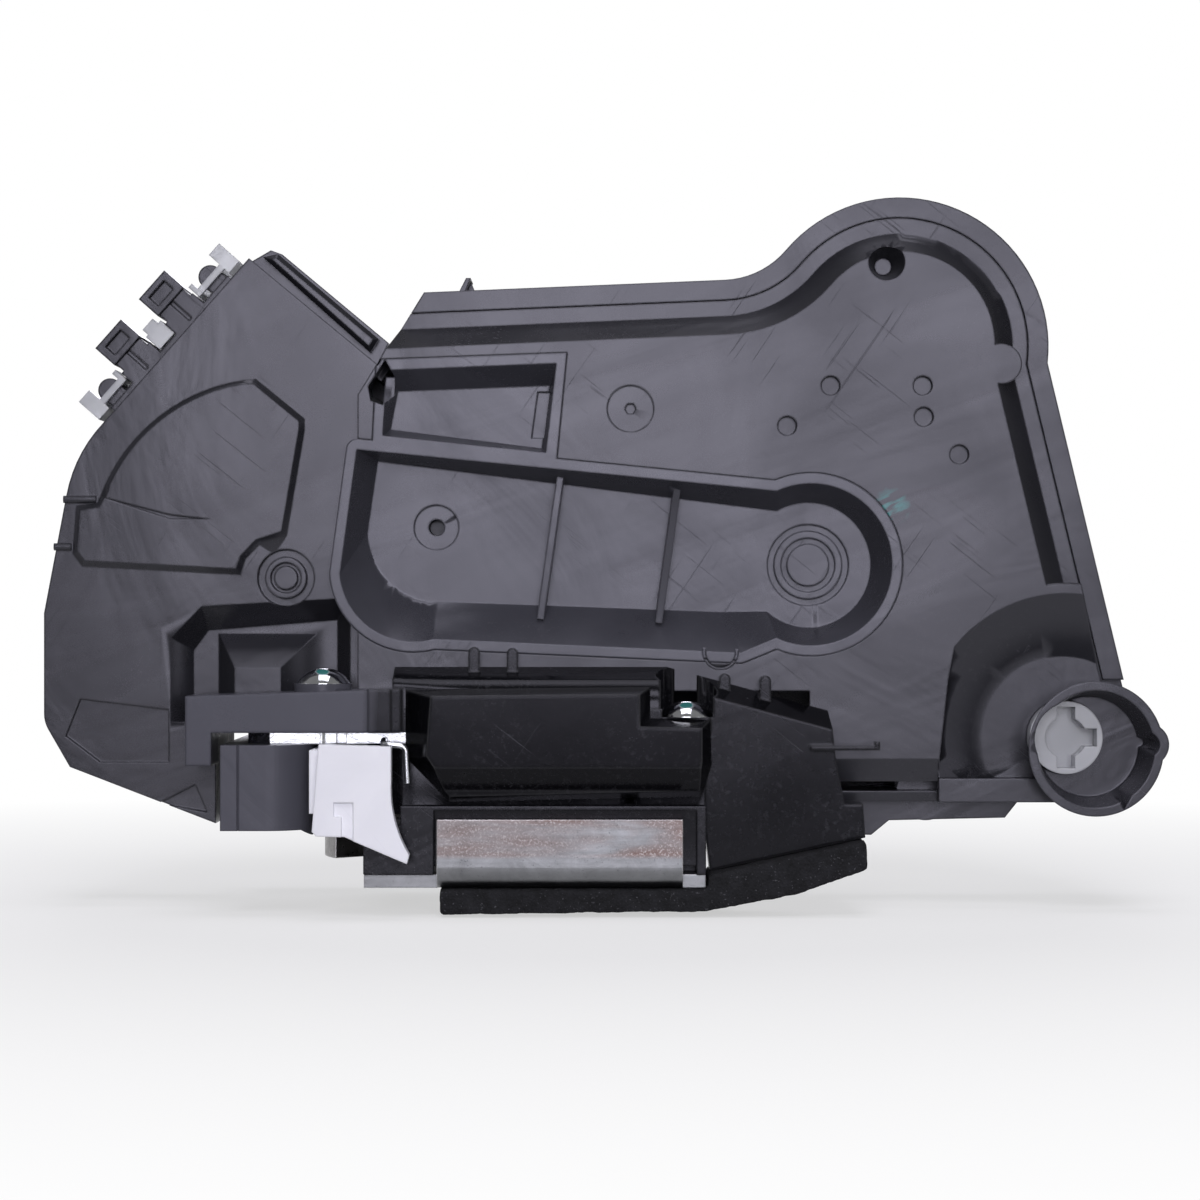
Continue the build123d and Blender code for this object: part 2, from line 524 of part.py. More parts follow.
def make_housing_rim():
    """Rim welded to the rear housing's front edge, and the ridge along its upper left edge."""
    rim = slab(tray_outline(REAR_RUN), PARTING_Y, FLANGE_Y) - slab(
        offset(cover_outline(), GAP / 2), PARTING_Y + CUT, FLANGE_Y - CUT)
    upper = slab(shape((-60, 38), (200, 38), (200, 200), (-60, 200)), 40, -5)
    ridge = slab(shape((-15.8, 118.6), (-13.0, 119.2), (6.2, 103.0), (4.6, 100.4)), PARTING_Y, RIDGE_Y)
    ridge = chamfer(ridge.edges().group_by(Axis.Y)[0], 0.8)
    return Compound(children=[*(rim & upper).solids(), *(ridge - rim).solids()])


def edge_frame():
    """Places an outline drawn along the slanted edge (x along it, y outwards)."""
    turn = degrees(atan2(LEFT_CORNER[1] - EDGE_FOOT[1], LEFT_CORNER[0] - EDGE_FOOT[0]))
    return Pos(*EDGE_FOOT) * Rot(0, 0, turn)


def edge_box(u0, u1, n0, n1, front, back):
    """Box on the slanted edge: along it, outwards from it, and in depth."""
    area = Pos((u0 + u1) / 2, (n0 + n1) / 2) * Rectangle(u1 - u0, n1 - n0)
    return slab(edge_frame() * area, back, front)


# ---------------------------------------------------------------- connectors
def make_connector_housing():
    """Two shrouds with latch windows on stepped bases, set in the housing's slanted wall."""
    front, back = CONNECTOR_FRONT_Y, CONNECTOR_BACK_Y
    body = edge_box(3.5, 35.5, -WALL, 0, front, back) + edge_box(2.6, 36.6, 0, 2.2, front, back)
    for u in SHROUDS:
        body = body + edge_box(u - 4.0, u + 4.0, 2.0, 5.0, front, back)
        body = body + edge_box(u - 3.4, u + 3.4, 4.9, 7.0, front, back)
        body = body + edge_box(u - 3.7, u + 3.7, 6.9, 11.8, front - 1.0, back)
        body = body - edge_box(u - 2.6, u + 2.6, 4.0, 12.8, front + 1.4, back - 1.4)
        body = body - edge_box(u - 2.2, u + 2.2, 8.2, 10.6, front - 2.0, front + 0.5)
        body = body - edge_box(u - 0.4, u + 0.4, 2.0, 6.9, front - CUT, front + 0.6)
    for u in (5.0, 34.2):
        body = body + (slab(edge_frame() * disc(u, 4.8, 2.3), back, front + 2)
                       & edge_box(u - 3, u + 3, 2, 9, 0, 40))
        body = body + edge_box(u - 2.0, u + 2.0, 2.0, 4.8, front + 2, back)
    for u in SHROUDS:
        for y in TERMINAL_YS:
            body = body - edge_box(u - 0.45, u + 0.45, -WALL - CUT, 5.0, y - 0.45, y + 0.45)
    return body


def make_connector_lock():
    """Translucent comb that locks the terminals: fingers in front of a rail at the back."""
    front, back = CONNECTOR_FRONT_Y + 0.5, CONNECTOR_BACK_Y + 2.0
    rail_front = CONNECTOR_BACK_Y + GAP
    body = edge_box(-0.4, 40.2, 2.6, 6.4, rail_front, back)
    for u0, u1, n0, n1 in ((37.2, 40.2, 2.4, 7.6), (-0.6, 2.4, 2.4, 7.6),
                           (17.3, 21.6, 2.6, 6.2), (17.9, 20.8, 6.1, 7.6),
                           (29.9, 30.9, 3.6, 6.4), (7.7, 8.7, 3.6, 6.4)):
        body = body + edge_box(u0, u1, n0, n1, front, back)
    for u0, u1 in ((29.9, 37.4), (2.2, 8.7)):
        body = body + edge_box(u0, u1, 3.6, 4.9, front, front + 1.2)
    return body


def make_terminals():
    """Blade terminals from the carrier into both shrouds."""
    pins = [edge_box(u - 0.4, u + 0.4, -6.0, 9.0, y - 0.4, y + 0.4)
            for u in SHROUDS for y in TERMINAL_YS]
    return Compound(children=pins)


def make_circuit_carrier():
    outline = shape((-38.0, 70.0), (-38.0, 84.0), (-16.0, 108.0), (0.0, 95.0), (14.0, 88.0),
                    (14.0, 78.0), (0.0, 76.0), (-6.0, 70.0))
    body = slab(outline, CARRIER_Y + CARRIER_T, CARRIER_Y)
    for x, z in CARRIER_POSTS:
        body = body - rod_y(x, z, 1.1 + FIT, 40, 0)
    return body


def carrier_screw(x, z):
    head = rod_y(x, z, 2.2, CARRIER_Y, CARRIER_Y - 1.4)
    return head + rod_y(x, z, 1.1, CARRIER_Y + CARRIER_T + 5, CARRIER_Y - 0.5)


def make_position_sensors():
    """Two Hall sensors on the carrier's front."""
    chips = [box(x - 2, x + 2, CARRIER_Y - 1.6, CARRIER_Y, z - 1.5, z + 1.5)
             for x, z in ((-12.0, 80.0), (0.0, 88.0))]
    return Compound(children=chips)


def cover_screw(x, z):
    """Self-tapping screw from the back, with a socket in its head."""
    seat = REAR_Y - SCREW_SUNK
    head = rod_y(x, z, SCREW_HEAD_R, seat + SCREW_HEAD_T, seat)
    head = chamfer(head.edges().group_by(Axis.Y)[-1], 0.5)
    body = head + rod_y(x, z, SCREW_SHANK_R, seat + 0.5, SCREW_BOSS_BACK - 6)
    socket = slab(Pos(x, z) * RegularPolygon(1.35, 6), seat + SCREW_HEAD_T + CUT, seat + 0.5)
    return body - socket


def make_cable_bush():
    """Grommet in the housing's left wall that guides the inside handle's cable."""
    body = rod_x(CABLE_Y, CABLE_Z, CABLE_BUSH_R, SIDE_X, SIDE_X + CABLE_BUSH_LENGTH)
    inner = SIDE_X + WALL + SEAM
    body = body + rod_x(CABLE_Y, CABLE_Z, CABLE_BUSH_R + 1.2, inner, SIDE_X + CABLE_BUSH_LENGTH)
    return body - rod_x(CABLE_Y, CABLE_Z, CABLE_R, SIDE_X - CUT, SIDE_X + 2 * CABLE_BUSH_LENGTH)


# ---------------------------------------------------------------- lock drive and levers
def toothed_disc():
    """Face of the lock gear: trapezium teeth on a round body."""
    tip = GEAR_PITCH_R + 0.58
    root = tip - TOOTH_DEPTH
    step = 360 / GEAR_TEETH
    tooth_root, tooth_tip = 0.30 * step, 0.17 * step
    face = Circle(root)
    for k in range(GEAR_TEETH):
        turn = step * k
        corners = [(root - 0.4, -tooth_root), (tip, -tooth_tip), (tip, tooth_tip),
                   (root - 0.4, tooth_root)]
        points = [(r * cos(radians(turn + a)), r * sin(radians(turn + a))) for r, a in corners]
        face = face + shape(*points)
    return face


def make_lock_gear():
    half = GEAR_T / 2
    turned = Pos(GEAR_X, GEAR_Z) * Rot(0, 0, GEAR_PHASE) * toothed_disc()
    body = slab(turned, DRIVE_Y + half, DRIVE_Y - half)
    web = disc(GEAR_X, GEAR_Z, 10.5) - disc(GEAR_X, GEAR_Z, 5.5)
    body = body - slab(web, DRIVE_Y - half + 1.5, DRIVE_Y - half - CUT)
    body = body + rod_y(GEAR_X, GEAR_Z, 4.6, GEAR_HUB_BACK, CHANNEL_DEPTH + WALL + 2)
    cam = Pos(GEAR_X, GEAR_Z) * Rot(0, 0, 150) * link(0, 0, 4.6, 5.2, 0, 2.6)
    body = body + slab(cam, GEAR_HUB_BACK, DRIVE_Y + half - 0.5)
    return body - rod_y(GEAR_X, GEAR_Z, GEAR_PIN_R + FIT, 40, 0)


def make_gear_pin():
    return rod_y(GEAR_X, GEAR_Z, GEAR_PIN_R, REAR_Y - 0.2, CHANNEL_DEPTH + 3.4)


def make_worm():
    """Motor shaft with its screw thread, which turns as one."""
    body = rod_x(DRIVE_Y, WORM_Z, WORM_ROOT_R, WORM_X0, WORM_X1)
    body = body + rod_x(DRIVE_Y, WORM_Z, SHAFT_R, MOTOR_X0 + MOTOR_LENGTH - 3, WORM_X1 + 4)
    turns = WORM_TURNS * WORM_PITCH
    start = (WORM_X0 + WORM_X1 - turns) / 2
    path = Pos(start, DRIVE_Y, WORM_Z) * Helix(WORM_PITCH, turns, WORM_ROOT_R, direction=(1, 0, 0))
    rise = WORM_TIP_R - WORM_ROOT_R
    section = shape((-0.2, -0.55), (rise, -0.28), (rise, 0.28), (-0.2, 0.55))
    begin = path @ 0
    outward = Vector(0, begin.Y - DRIVE_Y, begin.Z - WORM_Z).normalized()
    across = Plane(origin=begin, x_dir=outward, z_dir=path % 0)
    return body + sweep(across * section, path=path, is_frenet=True)


def motor_shape(grow):
    """Motor can: round above and below, flat in front and behind."""
    x0, x1 = MOTOR_X0 - grow, MOTOR_X0 + MOTOR_LENGTH + grow
    half = MOTOR_HALF + grow
    flat = box(x0, x1, DRIVE_Y - half, DRIVE_Y + half, WORM_Z - 20, WORM_Z + 20)
    return rod_x(DRIVE_Y, WORM_Z, MOTOR_R + grow, x0, x1) & flat


def make_lock_motor():
    end = MOTOR_X0 + MOTOR_LENGTH
    body = motor_shape(0) + rod_x(DRIVE_Y, WORM_Z, 3.0, end - 0.5, end + 2.0)
    return body - rod_x(DRIVE_Y, WORM_Z, SHAFT_R + FIT, end - 4, end + 3)


def make_motor_cap():
    """Plastic end cap with the two supply blades."""
    cap = rod_x(DRIVE_Y, WORM_Z, MOTOR_R - 0.6, MOTOR_X0 - 3, MOTOR_X0) & box(
        MOTOR_X0 - 4, MOTOR_X0, DRIVE_Y - 6.9, DRIVE_Y + 6.9, WORM_Z - 20, WORM_Z + 20)
    for z in (WORM_Z - 4, WORM_Z + 4):
        cap = cap + box(MOTOR_X0 - 7, MOTOR_X0 - 2.5, DRIVE_Y - 0.4, DRIVE_Y + 0.4, z - 1.4, z + 1.4)
    return cap


def lever(name, arms, thickness=LEVER_T):
    """Flat lever with a hub that reaches back to the housing's boss."""
    x, z, front, _ = LEVERS[name]
    outline = disc(x, z, 4.4)
    for end_x, end_z, end_r in arms:
        outline = outline + link(x, z, 4.0, end_x, end_z, end_r)
    body = slab(outline, front + thickness, front)
    body = body + rod_y(x, z, 4.2, REAR_Y - WALL - 1.4, front)
    return body - rod_y(x, z, LEVER_PIN_R + FIT, 40, 0)


def lever_pin(name):
    """Pin with a head in front of its lever, fixed in the housing's boss."""
    x, z, front, pin_front = LEVERS[name]
    head = rod_y(x, z, LEVER_PIN_R + 1.2, front - 0.3, pin_front - 0.4)
    return rod_y(x, z, LEVER_PIN_R, REAR_Y - 0.8, pin_front) + head


def make_release_lever():
    body = lever("release", [(46.0, 38.2, 2.5), (28.0, 62.0, 2.8)])
    foot = link(44.6, 43.0, 2.5, 46.0, 38.2, 2.5)
    body = body + slab(foot, 19.5, 14.4)
    return body - rod_y(28.0, 62.0, 1.4, 30, 10)


def make_inside_lever():
    """Lever of the inside handle; its free end takes the cable's barrel."""
    return lever("inside", [(-4.0, CABLE_Z, 3.2)]) - rod_y(-4.0, CABLE_Z, 1.8, 30, 10)


def make_lock_lever():
    return lever("lock", [(78.4, 53.8, 2.4), (58.0, 42.0, 2.6)])


def make_key_coupling():
    """White socket for the lock cylinder's tailpiece, on its long shaft."""
    back = KEY_BEARING_Y + GAP
    body = rod_y(KEY_X, KEY_Z, KEY_R, back + 0.5, KEY_FRONT_Y)
    body = body + rod_y(KEY_X, KEY_Z, KEY_R + 0.7, back + 2, back)
    body = body + rod_y(KEY_X, KEY_Z, GEAR_PIN_R, REAR_Y - 0.4, back + 1)
    socket = disc(KEY_X, KEY_Z, 3.9)
    for turn in (-90, 0, 90):
        notch = Pos(KEY_X, KEY_Z) * Rot(0, 0, turn) * Pos(3.0, 0) * Rectangle(5.6, 3.4)
        socket = socket + notch
    floor = KEY_FRONT_Y + 5
    return body - slab(socket, floor, KEY_FRONT_Y - CUT)


def make_key_lever():
    arm = link(KEY_X, KEY_Z, 5.0, 123.0, 37.5, 2.6)
    body = slab(arm, KEY_HUB_BACK - 2.8, KEY_HUB_BACK - 5.8) + rod_y(
        KEY_X, KEY_Z, 5.0, KEY_HUB_BACK, KEY_HUB_BACK - 11.8)
    return body - rod_y(KEY_X, KEY_Z, GEAR_PIN_R + 0.02, 40, 10)


# ---------------------------------------------------------------- latch
def make_face_plate():
    """Steel plate with three threaded collars and the front flange bent up."""
    front = FLANGE_FRONT_Y + PLATE_T + 0.5
    outline = shape((MOUTH_RIGHT, front), (MOUTH_RIGHT, LATCH_BACK_Y - 2), (LATCH_RIGHT - 8, LATCH_BACK_Y - 2),
                    (LATCH_RIGHT, LATCH_BACK_Y - 14), (LATCH_RIGHT, front))
    outline = fillet(nearest_vertex(outline, MOUTH_RIGHT, LATCH_BACK_Y - 2), 3.0)
    body = plate(outline, 0, PLATE_T)
    x0, y0 = FLANGE_LEFT, FLANGE_FRONT_Y
    inner = BEND_R - PLATE_T
    bend = (y0 + BEND_R, BEND_R)
    mid = cos(radians(45))
    edges = (Line((y0, FLANGE_TOP), (y0, BEND_R))
             + ThreePointArc((y0, BEND_R), (bend[0] - BEND_R * mid, BEND_R - BEND_R * mid),
                             (bend[0], 0))
             + Polyline((bend[0], 0), (bend[0] + 2, 0), (bend[0] + 2, PLATE_T), (bend[0], PLATE_T))
             + ThreePointArc((bend[0], PLATE_T), (bend[0] - inner * mid, BEND_R - inner * mid),
                             (y0 + PLATE_T, BEND_R))
             + Polyline((y0 + PLATE_T, BEND_R), (y0 + PLATE_T, FLANGE_TOP), (y0, FLANGE_TOP)))
    flange = extrude(Plane.YZ.offset(x0) * make_face(edges), amount=FLANGE_RIGHT - x0)
    notch = box(x0, FLANGE_RIGHT, front - CUT, bend[0], -CUT, PLATE_T + CUT)
    body = body - notch + flange
    for x, y in BOLT_PLACES:
        body = body + rod_z(x, y, COLLAR_R, 0, PLATE_T + COLLAR_RISE)
        body = body - rod_z(x, y, BOLT_R, -CUT, PLATE_T + COLLAR_RISE + CUT)
    for x, y in ((CLAW_X, CLAW_Y), (PAWL_X, PAWL_Y)):
        body = body - rod_z(x, y, RIVET_R + FIT, -CUT, PLATE_T + CUT)
    return body


def make_back_plate():
    top = BACK_PLATE_Z + BACK_PLATE_T
    outline = shape((-17.5, -4.0), (-13.0, -8.5), (4.8, -8.5), (LATCH_RIGHT - 1, -8.5),
                    (LATCH_RIGHT - 1, 30.0), (LATCH_RIGHT - 12, LATCH_BACK_Y - 4), (-4.0, LATCH_BACK_Y - 4),
                    (-17.5, 26.0))
    body = plate(outline, BACK_PLATE_Z, top)
    body = body - box(-0.6, 1.2, -10, -7.0, BACK_PLATE_Z - CUT, top + CUT)
    for x, y in ((CLAW_X, CLAW_Y), (PAWL_X, PAWL_Y)):
        body = body - rod_z(x, y, RIVET_R + FIT, BACK_PLATE_Z - CUT, top + CUT)
    for x, y, _ in FRAME_SCREWS:
        body = body - rod_z(x, y, FRAME_SCREW_R + FIT, BACK_PLATE_Z - CUT, top + CUT)
    return body - box(47.5, 59.5, 12.5, 20.5, BACK_PLATE_Z - CUT, top + CUT)


def rivet_pin(x, y):
    """Stepped pin riveted through both plates."""
    body = rod_z(x, y, PIN_R, PLATE_T, BACK_PLATE_Z)
    return body + rod_z(x, y, RIVET_R, 0.3, BACK_PLATE_Z + BACK_PLATE_T)


def make_claw():
    """Rotary claw: a fork that swings over the striker, with two catch teeth on its rim."""
    face = Circle(CLAW_R)
    turn = CLAW_OPEN_ANGLE
    slot = Rot(0, 0, turn) * Pos(CLAW_R, 0) * Rectangle(2 * CLAW_R - 19.0, CLAW_SLOT)
    floor = Rot(0, 0, turn) * disc(9.5 + 0.1, 0, CLAW_SLOT / 2)
    face = face - slot - floor
    # relief behind the rear lobe, and the full and half catch notches on the pawl's side
    for angle, radius in ((96.0, 6.5), (64.0, 6.5)):
        face = face - Rot(0, 0, angle) * Pos(CLAW_R, 0) * Rot(0, 0, 24) * Rectangle(radius, 9.0)
    face = face - Rot(0, 0, 300) * Pos(CLAW_R + 2.0, 0) * Circle(12.0)
    face = face - Circle(PIN_R + FIT)
    body = plate(face, CLAW_Z, CLAW_Z + CLAW_T)
    return Pos(CLAW_X, CLAW_Y, 0) * body


def make_pawl():
    arm = link(PAWL_X, PAWL_Y, PAWL_HUB_R, PAWL_TIP[0] + 1.6, PAWL_TIP[1] - 0.4, 2.2)
    tail = link(PAWL_TIP[0] + 3.0, PAWL_TIP[1] - 3.0, 2.4, *LIFT_PIN, 2.6)
    body = plate(arm + tail, CLAW_Z, CLAW_Z + CLAW_T)
    body = body - rod_z(PAWL_X, PAWL_Y, PIN_R + FIT, -CUT, 30)
    return body + rod_z(*LIFT_PIN, LIFT_PIN_R, CLAW_Z + CLAW_T - 1, DECK_TOP + 8)


def mouth_hollow():
    """Striker mouth with its wide lead-in above the plate, as a cutting solid."""
    low = box(MOUTH_LEFT, MOUTH_RIGHT, LATCH_FRONT_Y - CUT, MOUTH_END_Y, -CUT, BACK_PLATE_Z + CUT)
    lead = box(MOUTH_LEFT, 11.6, LATCH_FRONT_Y - CUT, -3.0, BLOCK_BOTTOM + 1, BACK_PLATE_Z + CUT)
    return low + lead


def make_latch_housing():
    front = shape((LATCH_LEFT, BACK_PLATE_Z), (LATCH_LEFT, BLOCK_BOTTOM), (-7.0, BLOCK_BOTTOM),
                  (MOUTH_RIGHT + 0.3, PLATE_T), (LATCH_RIGHT, PLATE_T), (LATCH_RIGHT, BACK_PLATE_Z))
    body = slab(front, LATCH_BACK_Y, LATCH_FRONT_Y)
    body = body - mouth_hollow()
    lead_in = shape((MOUTH_LEFT - 8, LATCH_FRONT_Y - CUT), (MOUTH_LEFT + CUT, LATCH_FRONT_Y - CUT),
                    (MOUTH_LEFT + CUT, LATCH_FRONT_Y + 8), (MOUTH_LEFT - 8, LATCH_FRONT_Y + 8))
    lead_in = lead_in - disc(MOUTH_LEFT - 8, LATCH_FRONT_Y + 8, 8.0)
    body = body - plate(lead_in, 0, BACK_PLATE_Z + CUT)
    groove = box(LATCH_LEFT + 3.1, LATCH_LEFT + 3.4, LATCH_FRONT_Y - CUT, LATCH_FRONT_Y + 0.4, 0, 30)
    body = body - groove
    # pockets of the claw and the pawl, open towards the plate
    claw_top = CLAW_Z + CLAW_T + 0.6
    pocket = disc(CLAW_X, CLAW_Y, CLAW_R + 0.8) & shape((MOUTH_LEFT, -20), (60, -20), (60, 50),
                                                        (MOUTH_LEFT, 50))
    pocket = pocket + disc(PAWL_X, PAWL_Y, PAWL_HUB_R + 0.6)
    pocket = pocket + shape((40.0, -4.0), (PAWL_X + 5, -4.0), (PAWL_X + 8.5, 2.0), (61.0, 20.0),
                            (57.0, 21.5), (38.0, 21.5))
    body = body - plate(pocket, 0, claw_top)
    body = body - box(47.5, 59.5, 12.5, 20.5, 0, 30)
    # room behind and at the right for the plate's collars and the bolts' ends
    room = COLLAR_R + GAP
    for x, y in BOLT_PLACES:
        left = MOUTH_RIGHT if y > CLAW_Y + CLAW_R else x - room
        body = body - box(left, LATCH_RIGHT + CUT, y - room, LATCH_BACK_Y + CUT, 0, 40)
    for x, y in ((CLAW_X, CLAW_Y), (PAWL_X, PAWL_Y)):
        body = body - rod_z(x, y, PIN_R + FIT, 0, 30)
    body = body - rod_z(CLAW_X, CLAW_Y, 8.4, claw_top - 0.1, SPRING_TOP)
    body = body - rod_z(PAWL_X, PAWL_Y, 7.0, claw_top - 0.1, SPRING_TOP)
    # front relief: window of the plate's flange and the seat of the mechanism cover
    body = body - box(FLANGE_LEFT - 0.6, FLANGE_RIGHT + 2.6, LATCH_FRONT_Y - CUT,
                      FLANGE_FRONT_Y + PLATE_T + GAP, 0, FLANGE_TOP + 1.6)
    body = body - box(FLANGE_LEFT - 0.6, FLANGE_RIGHT + 2.6, LATCH_FRONT_Y - CUT, -6.5, 0, PLATE_T + 1.6)
    body = body - box(11.6, LATCH_RIGHT + CUT, LATCH_FRONT_Y - CUT, COVER_BASE_Y, FLANGE_TOP + 2.4, 40)
    return body


def torsion_spring(x, y, radius, wire_r, turns):
    """Close-wound coil round a pivot pin, in the room above the claw and the pawl."""
    pitch = 2 * wire_r + 0.1
    bottom = CLAW_Z + CLAW_T + 1.4 + wire_r
    path = Pos(x, y, bottom) * Helix(pitch, turns * pitch, radius)
    start = Plane(origin=path @ 0, z_dir=path % 0)
    return sweep(start * RegularPolygon(wire_r, 6), path=path, is_frenet=True)


def wire(points, radius, bend):
    """Bent wire along a filleted path."""
    path = FilletPolyline(*points, radius=bend)
    start = Plane(origin=path @ 0, z_dir=path % 0)
    return sweep(start * Circle(radius), path=path)


def make_retaining_wire():
    """Wire leg beside the mouth that holds the shipping plug."""
    return wire([(8.4, -11.0, 27.2), (8.4, -13.4, 26.6), (12.6, -13.4, 26.2), (12.9, -13.4, 19.4)],
                0.6, 1.2)


def make_mouth_bumper():
    """Rubber block at the closed end of the mouth."""
    body = box(MOUTH_LEFT + GAP, MOUTH_RIGHT - GAP, MOUTH_END_Y - 4, MOUTH_END_Y, 13.6, 24.0)
    return fillet(body.edges().filter_by(Axis.Z).group_by(Axis.Y)[0], 1.5)


def make_shipping_plug():
    """White plug: a face panel that flares to the right below, and a stem in the mouth."""
    front, back = -20.0, -16.6
    edges = (Polyline((10.3, 19.8), (10.3, 26.4), (-2.9, 26.8), (-4.2, 10.1), (1.7, 9.9),
                      (13.2, 5.0), (13.6, 6.6)) + ThreePointArc((13.6, 6.6), (11.3, 11.8), (10.3, 19.8)))
    face = slab(make_face(edges), back, front)
    notch = shape((-0.2, 16.2), (3.4, 16.2), (3.4, 8.0), (1.2, 8.0), (1.2, 13.6), (-0.2, 13.6))
    face = face - slab(notch, front + 0.8, front - CUT)
    left = face.edges().group_by(Axis.X)[0]
    stem = box(MOUTH_LEFT + GAP, MOUTH_RIGHT - GAP, back - 0.5, 6.0, 14.0, 25.6)
    return chamfer(left, 0.8) + stem


def make_foam_seal():
    top = [(18.8, -0.05), (LATCH_RIGHT + 0.4, -0.05), (LATCH_RIGHT + 0.4, 2.6), (97.6, 8.8)]
    bottom = [(97.8, 3.6), (84.9, -1.0), (LATCH_RIGHT, -4.2), (19.0, -4.8)]
    body = slab(shape(*top, *bottom), 4.0, -15.0)
    return body


def frame_top(x):
    """Height of the shelf's rear edge along the latch frame."""
    return 40.6 if x < 61.0 else 40.6 - 0.27 * (x - 61.0)


def make_latch_frame():
    """Bracket over the mouth, sloped shelf with gusset ribs, and the plain plate at the right."""
    front, back = FRAME_FRONT_Y, TRAY_Y - GAP
    low = BACK_PLATE_Z + BACK_PLATE_T
    bar = shape((-28.3, 22.5), (-23.5, 22.5), (-23.5, low), (12.0, low), (12.0, 36.8), (-28.3, 35.4))
    body = slab(bar, back, front)
    shelf = shape((9.8, low), (LATCH_RIGHT, low), (LATCH_RIGHT, 10.0), (68.9, 2.8), (97.8, 9.0),
                  (97.4, 15.2), (94.0, 15.2), (92.4, 23.0), (91.4, frame_top(91.4)), (61.0, 40.6),
                  (9.8, 40.6))
    body = body + slab(shelf, back, front + 3.4)
    body = body - prism_between([(61.0, 37.4), (95.0, frame_top(95.0) - 3.2), (95.0, 50.0), (61.0, 50.0)],
                                [(61.0, 40.7), (95.0, frame_top(95.0)), (95.0, 50.0), (61.0, 50.0)],
                                front + 3.4 - 0.1, back + 0.1)
    slope = extrude(Plane.YZ.offset(9.0) * shape((back + 0.1, 40.7), (front - CUT, 37.0),
                                                 (front - CUT, 50.0), (back + 0.1, 50.0)), amount=92.0)
    body = body - slope
    body = body + box(5.6, 9.8, front - 0.8, front + 1, low, 36.7)
    deck = shape((LATCH_LEFT + 1, front), (LATCH_RIGHT - 1, front), (LATCH_RIGHT - 1, 32.0),
                 (LATCH_RIGHT - 12, LATCH_BACK_Y - 5), (LATCH_LEFT + 6, LATCH_BACK_Y - 5),
                 (LATCH_LEFT + 1, 34.0))
    body = body + plate(deck, low, DECK_TOP - 0.05)
    for x, height in ((24.8, 44.4), (32.0, 44.2), (71.9, 39.4), (79.5, 39.0)):
        foot = height - 6.6
        rib = slab(shape((x - 1.05, foot), (x + 1.05, foot), (x + 1.05, height - 1.05),
                         (x - 1.05, height - 1.05)) + disc(x, height - 1.05, 1.05), back, back - 3.4)
        body = body + rib
    hook = box(87.6, 100.4, front + 1.6, front + 4.4, 25.3, 26.1) + box(
        99.4, 100.4, front + 1.6, front + 4.4, 26.0, 26.9)
    body = body + hook
    for x, y, seat in FRAME_SCREWS:
        body = body - rod_z(x, y, FRAME_HEAD_R + 0.6, seat, 60)
        body = body + rod_z(x, y, FRAME_HEAD_R + 0.3, low, seat)
        body = body - rod_z(x, y, FRAME_SCREW_R + FIT, 0, 60)
    body = body - box(11.6, LATCH_RIGHT + 1.6, -40, COVER_BASE_Y, 14.0, 38.6)
    return body - box(47.5, 59.5, 12.5, 20.5, 20, DECK_TOP + CUT)


def frame_screw(x, y, seat):
    """Pan-head screw standing upright."""
    ball_r = (FRAME_HEAD_R ** 2 + FRAME_HEAD_RISE ** 2) / (2 * FRAME_HEAD_RISE)
    ball = Pos(x, y, seat + FRAME_HEAD_RISE - ball_r) * Sphere(ball_r)
    head = ball & rod_z(x, y, FRAME_HEAD_R + 1, seat, seat + FRAME_HEAD_RISE + 1)
    body = head + rod_z(x, y, FRAME_SCREW_R, BACK_PLATE_Z, seat + 0.5)
    socket = Pos(x, y) * RegularPolygon(1.9, 6)
    return body - plate(socket, seat + 1.0, seat + FRAME_HEAD_RISE + 1)


def make_mechanism_cover():
    """Glossy raised box over the claw and the pawl, hollow behind."""
    base = [(12.3, 36.6), (57.8, 37.0), (57.8, 31.3), (69.0, 31.0), (69.2, 22.6), (67.4, 16.6),
            (20.4, 15.6), (12.3, 24.0)]
    face = [(17.4, 35.6), (55.8, 36.0), (55.8, 30.0), (67.2, 29.7), (67.2, 23.4), (66.4, 19.2),
            (21.0, 18.0), (16.6, 24.6)]
    body = prism_between(face, base, COVER_FACE_Y, COVER_BASE_Y)
    bevel = extrude(Plane.YZ.offset(10.0) * shape((COVER_FACE_Y - CUT, 22.4), (COVER_FACE_Y - CUT, 12.0),
                                                  (COVER_FACE_Y + 3.6, 12.0), (COVER_FACE_Y + 3.6, 18.0),
                                                  (COVER_FACE_Y, 22.4)), amount=62.0)
    body = body - bevel
    inner_base = grown(base, -1.8)
    inner_face = grown(face, -1.8)
    hollow = prism_between(inner_face, inner_base, COVER_FACE_Y + 5.4, COVER_BASE_Y + 0.01)
    return body - hollow


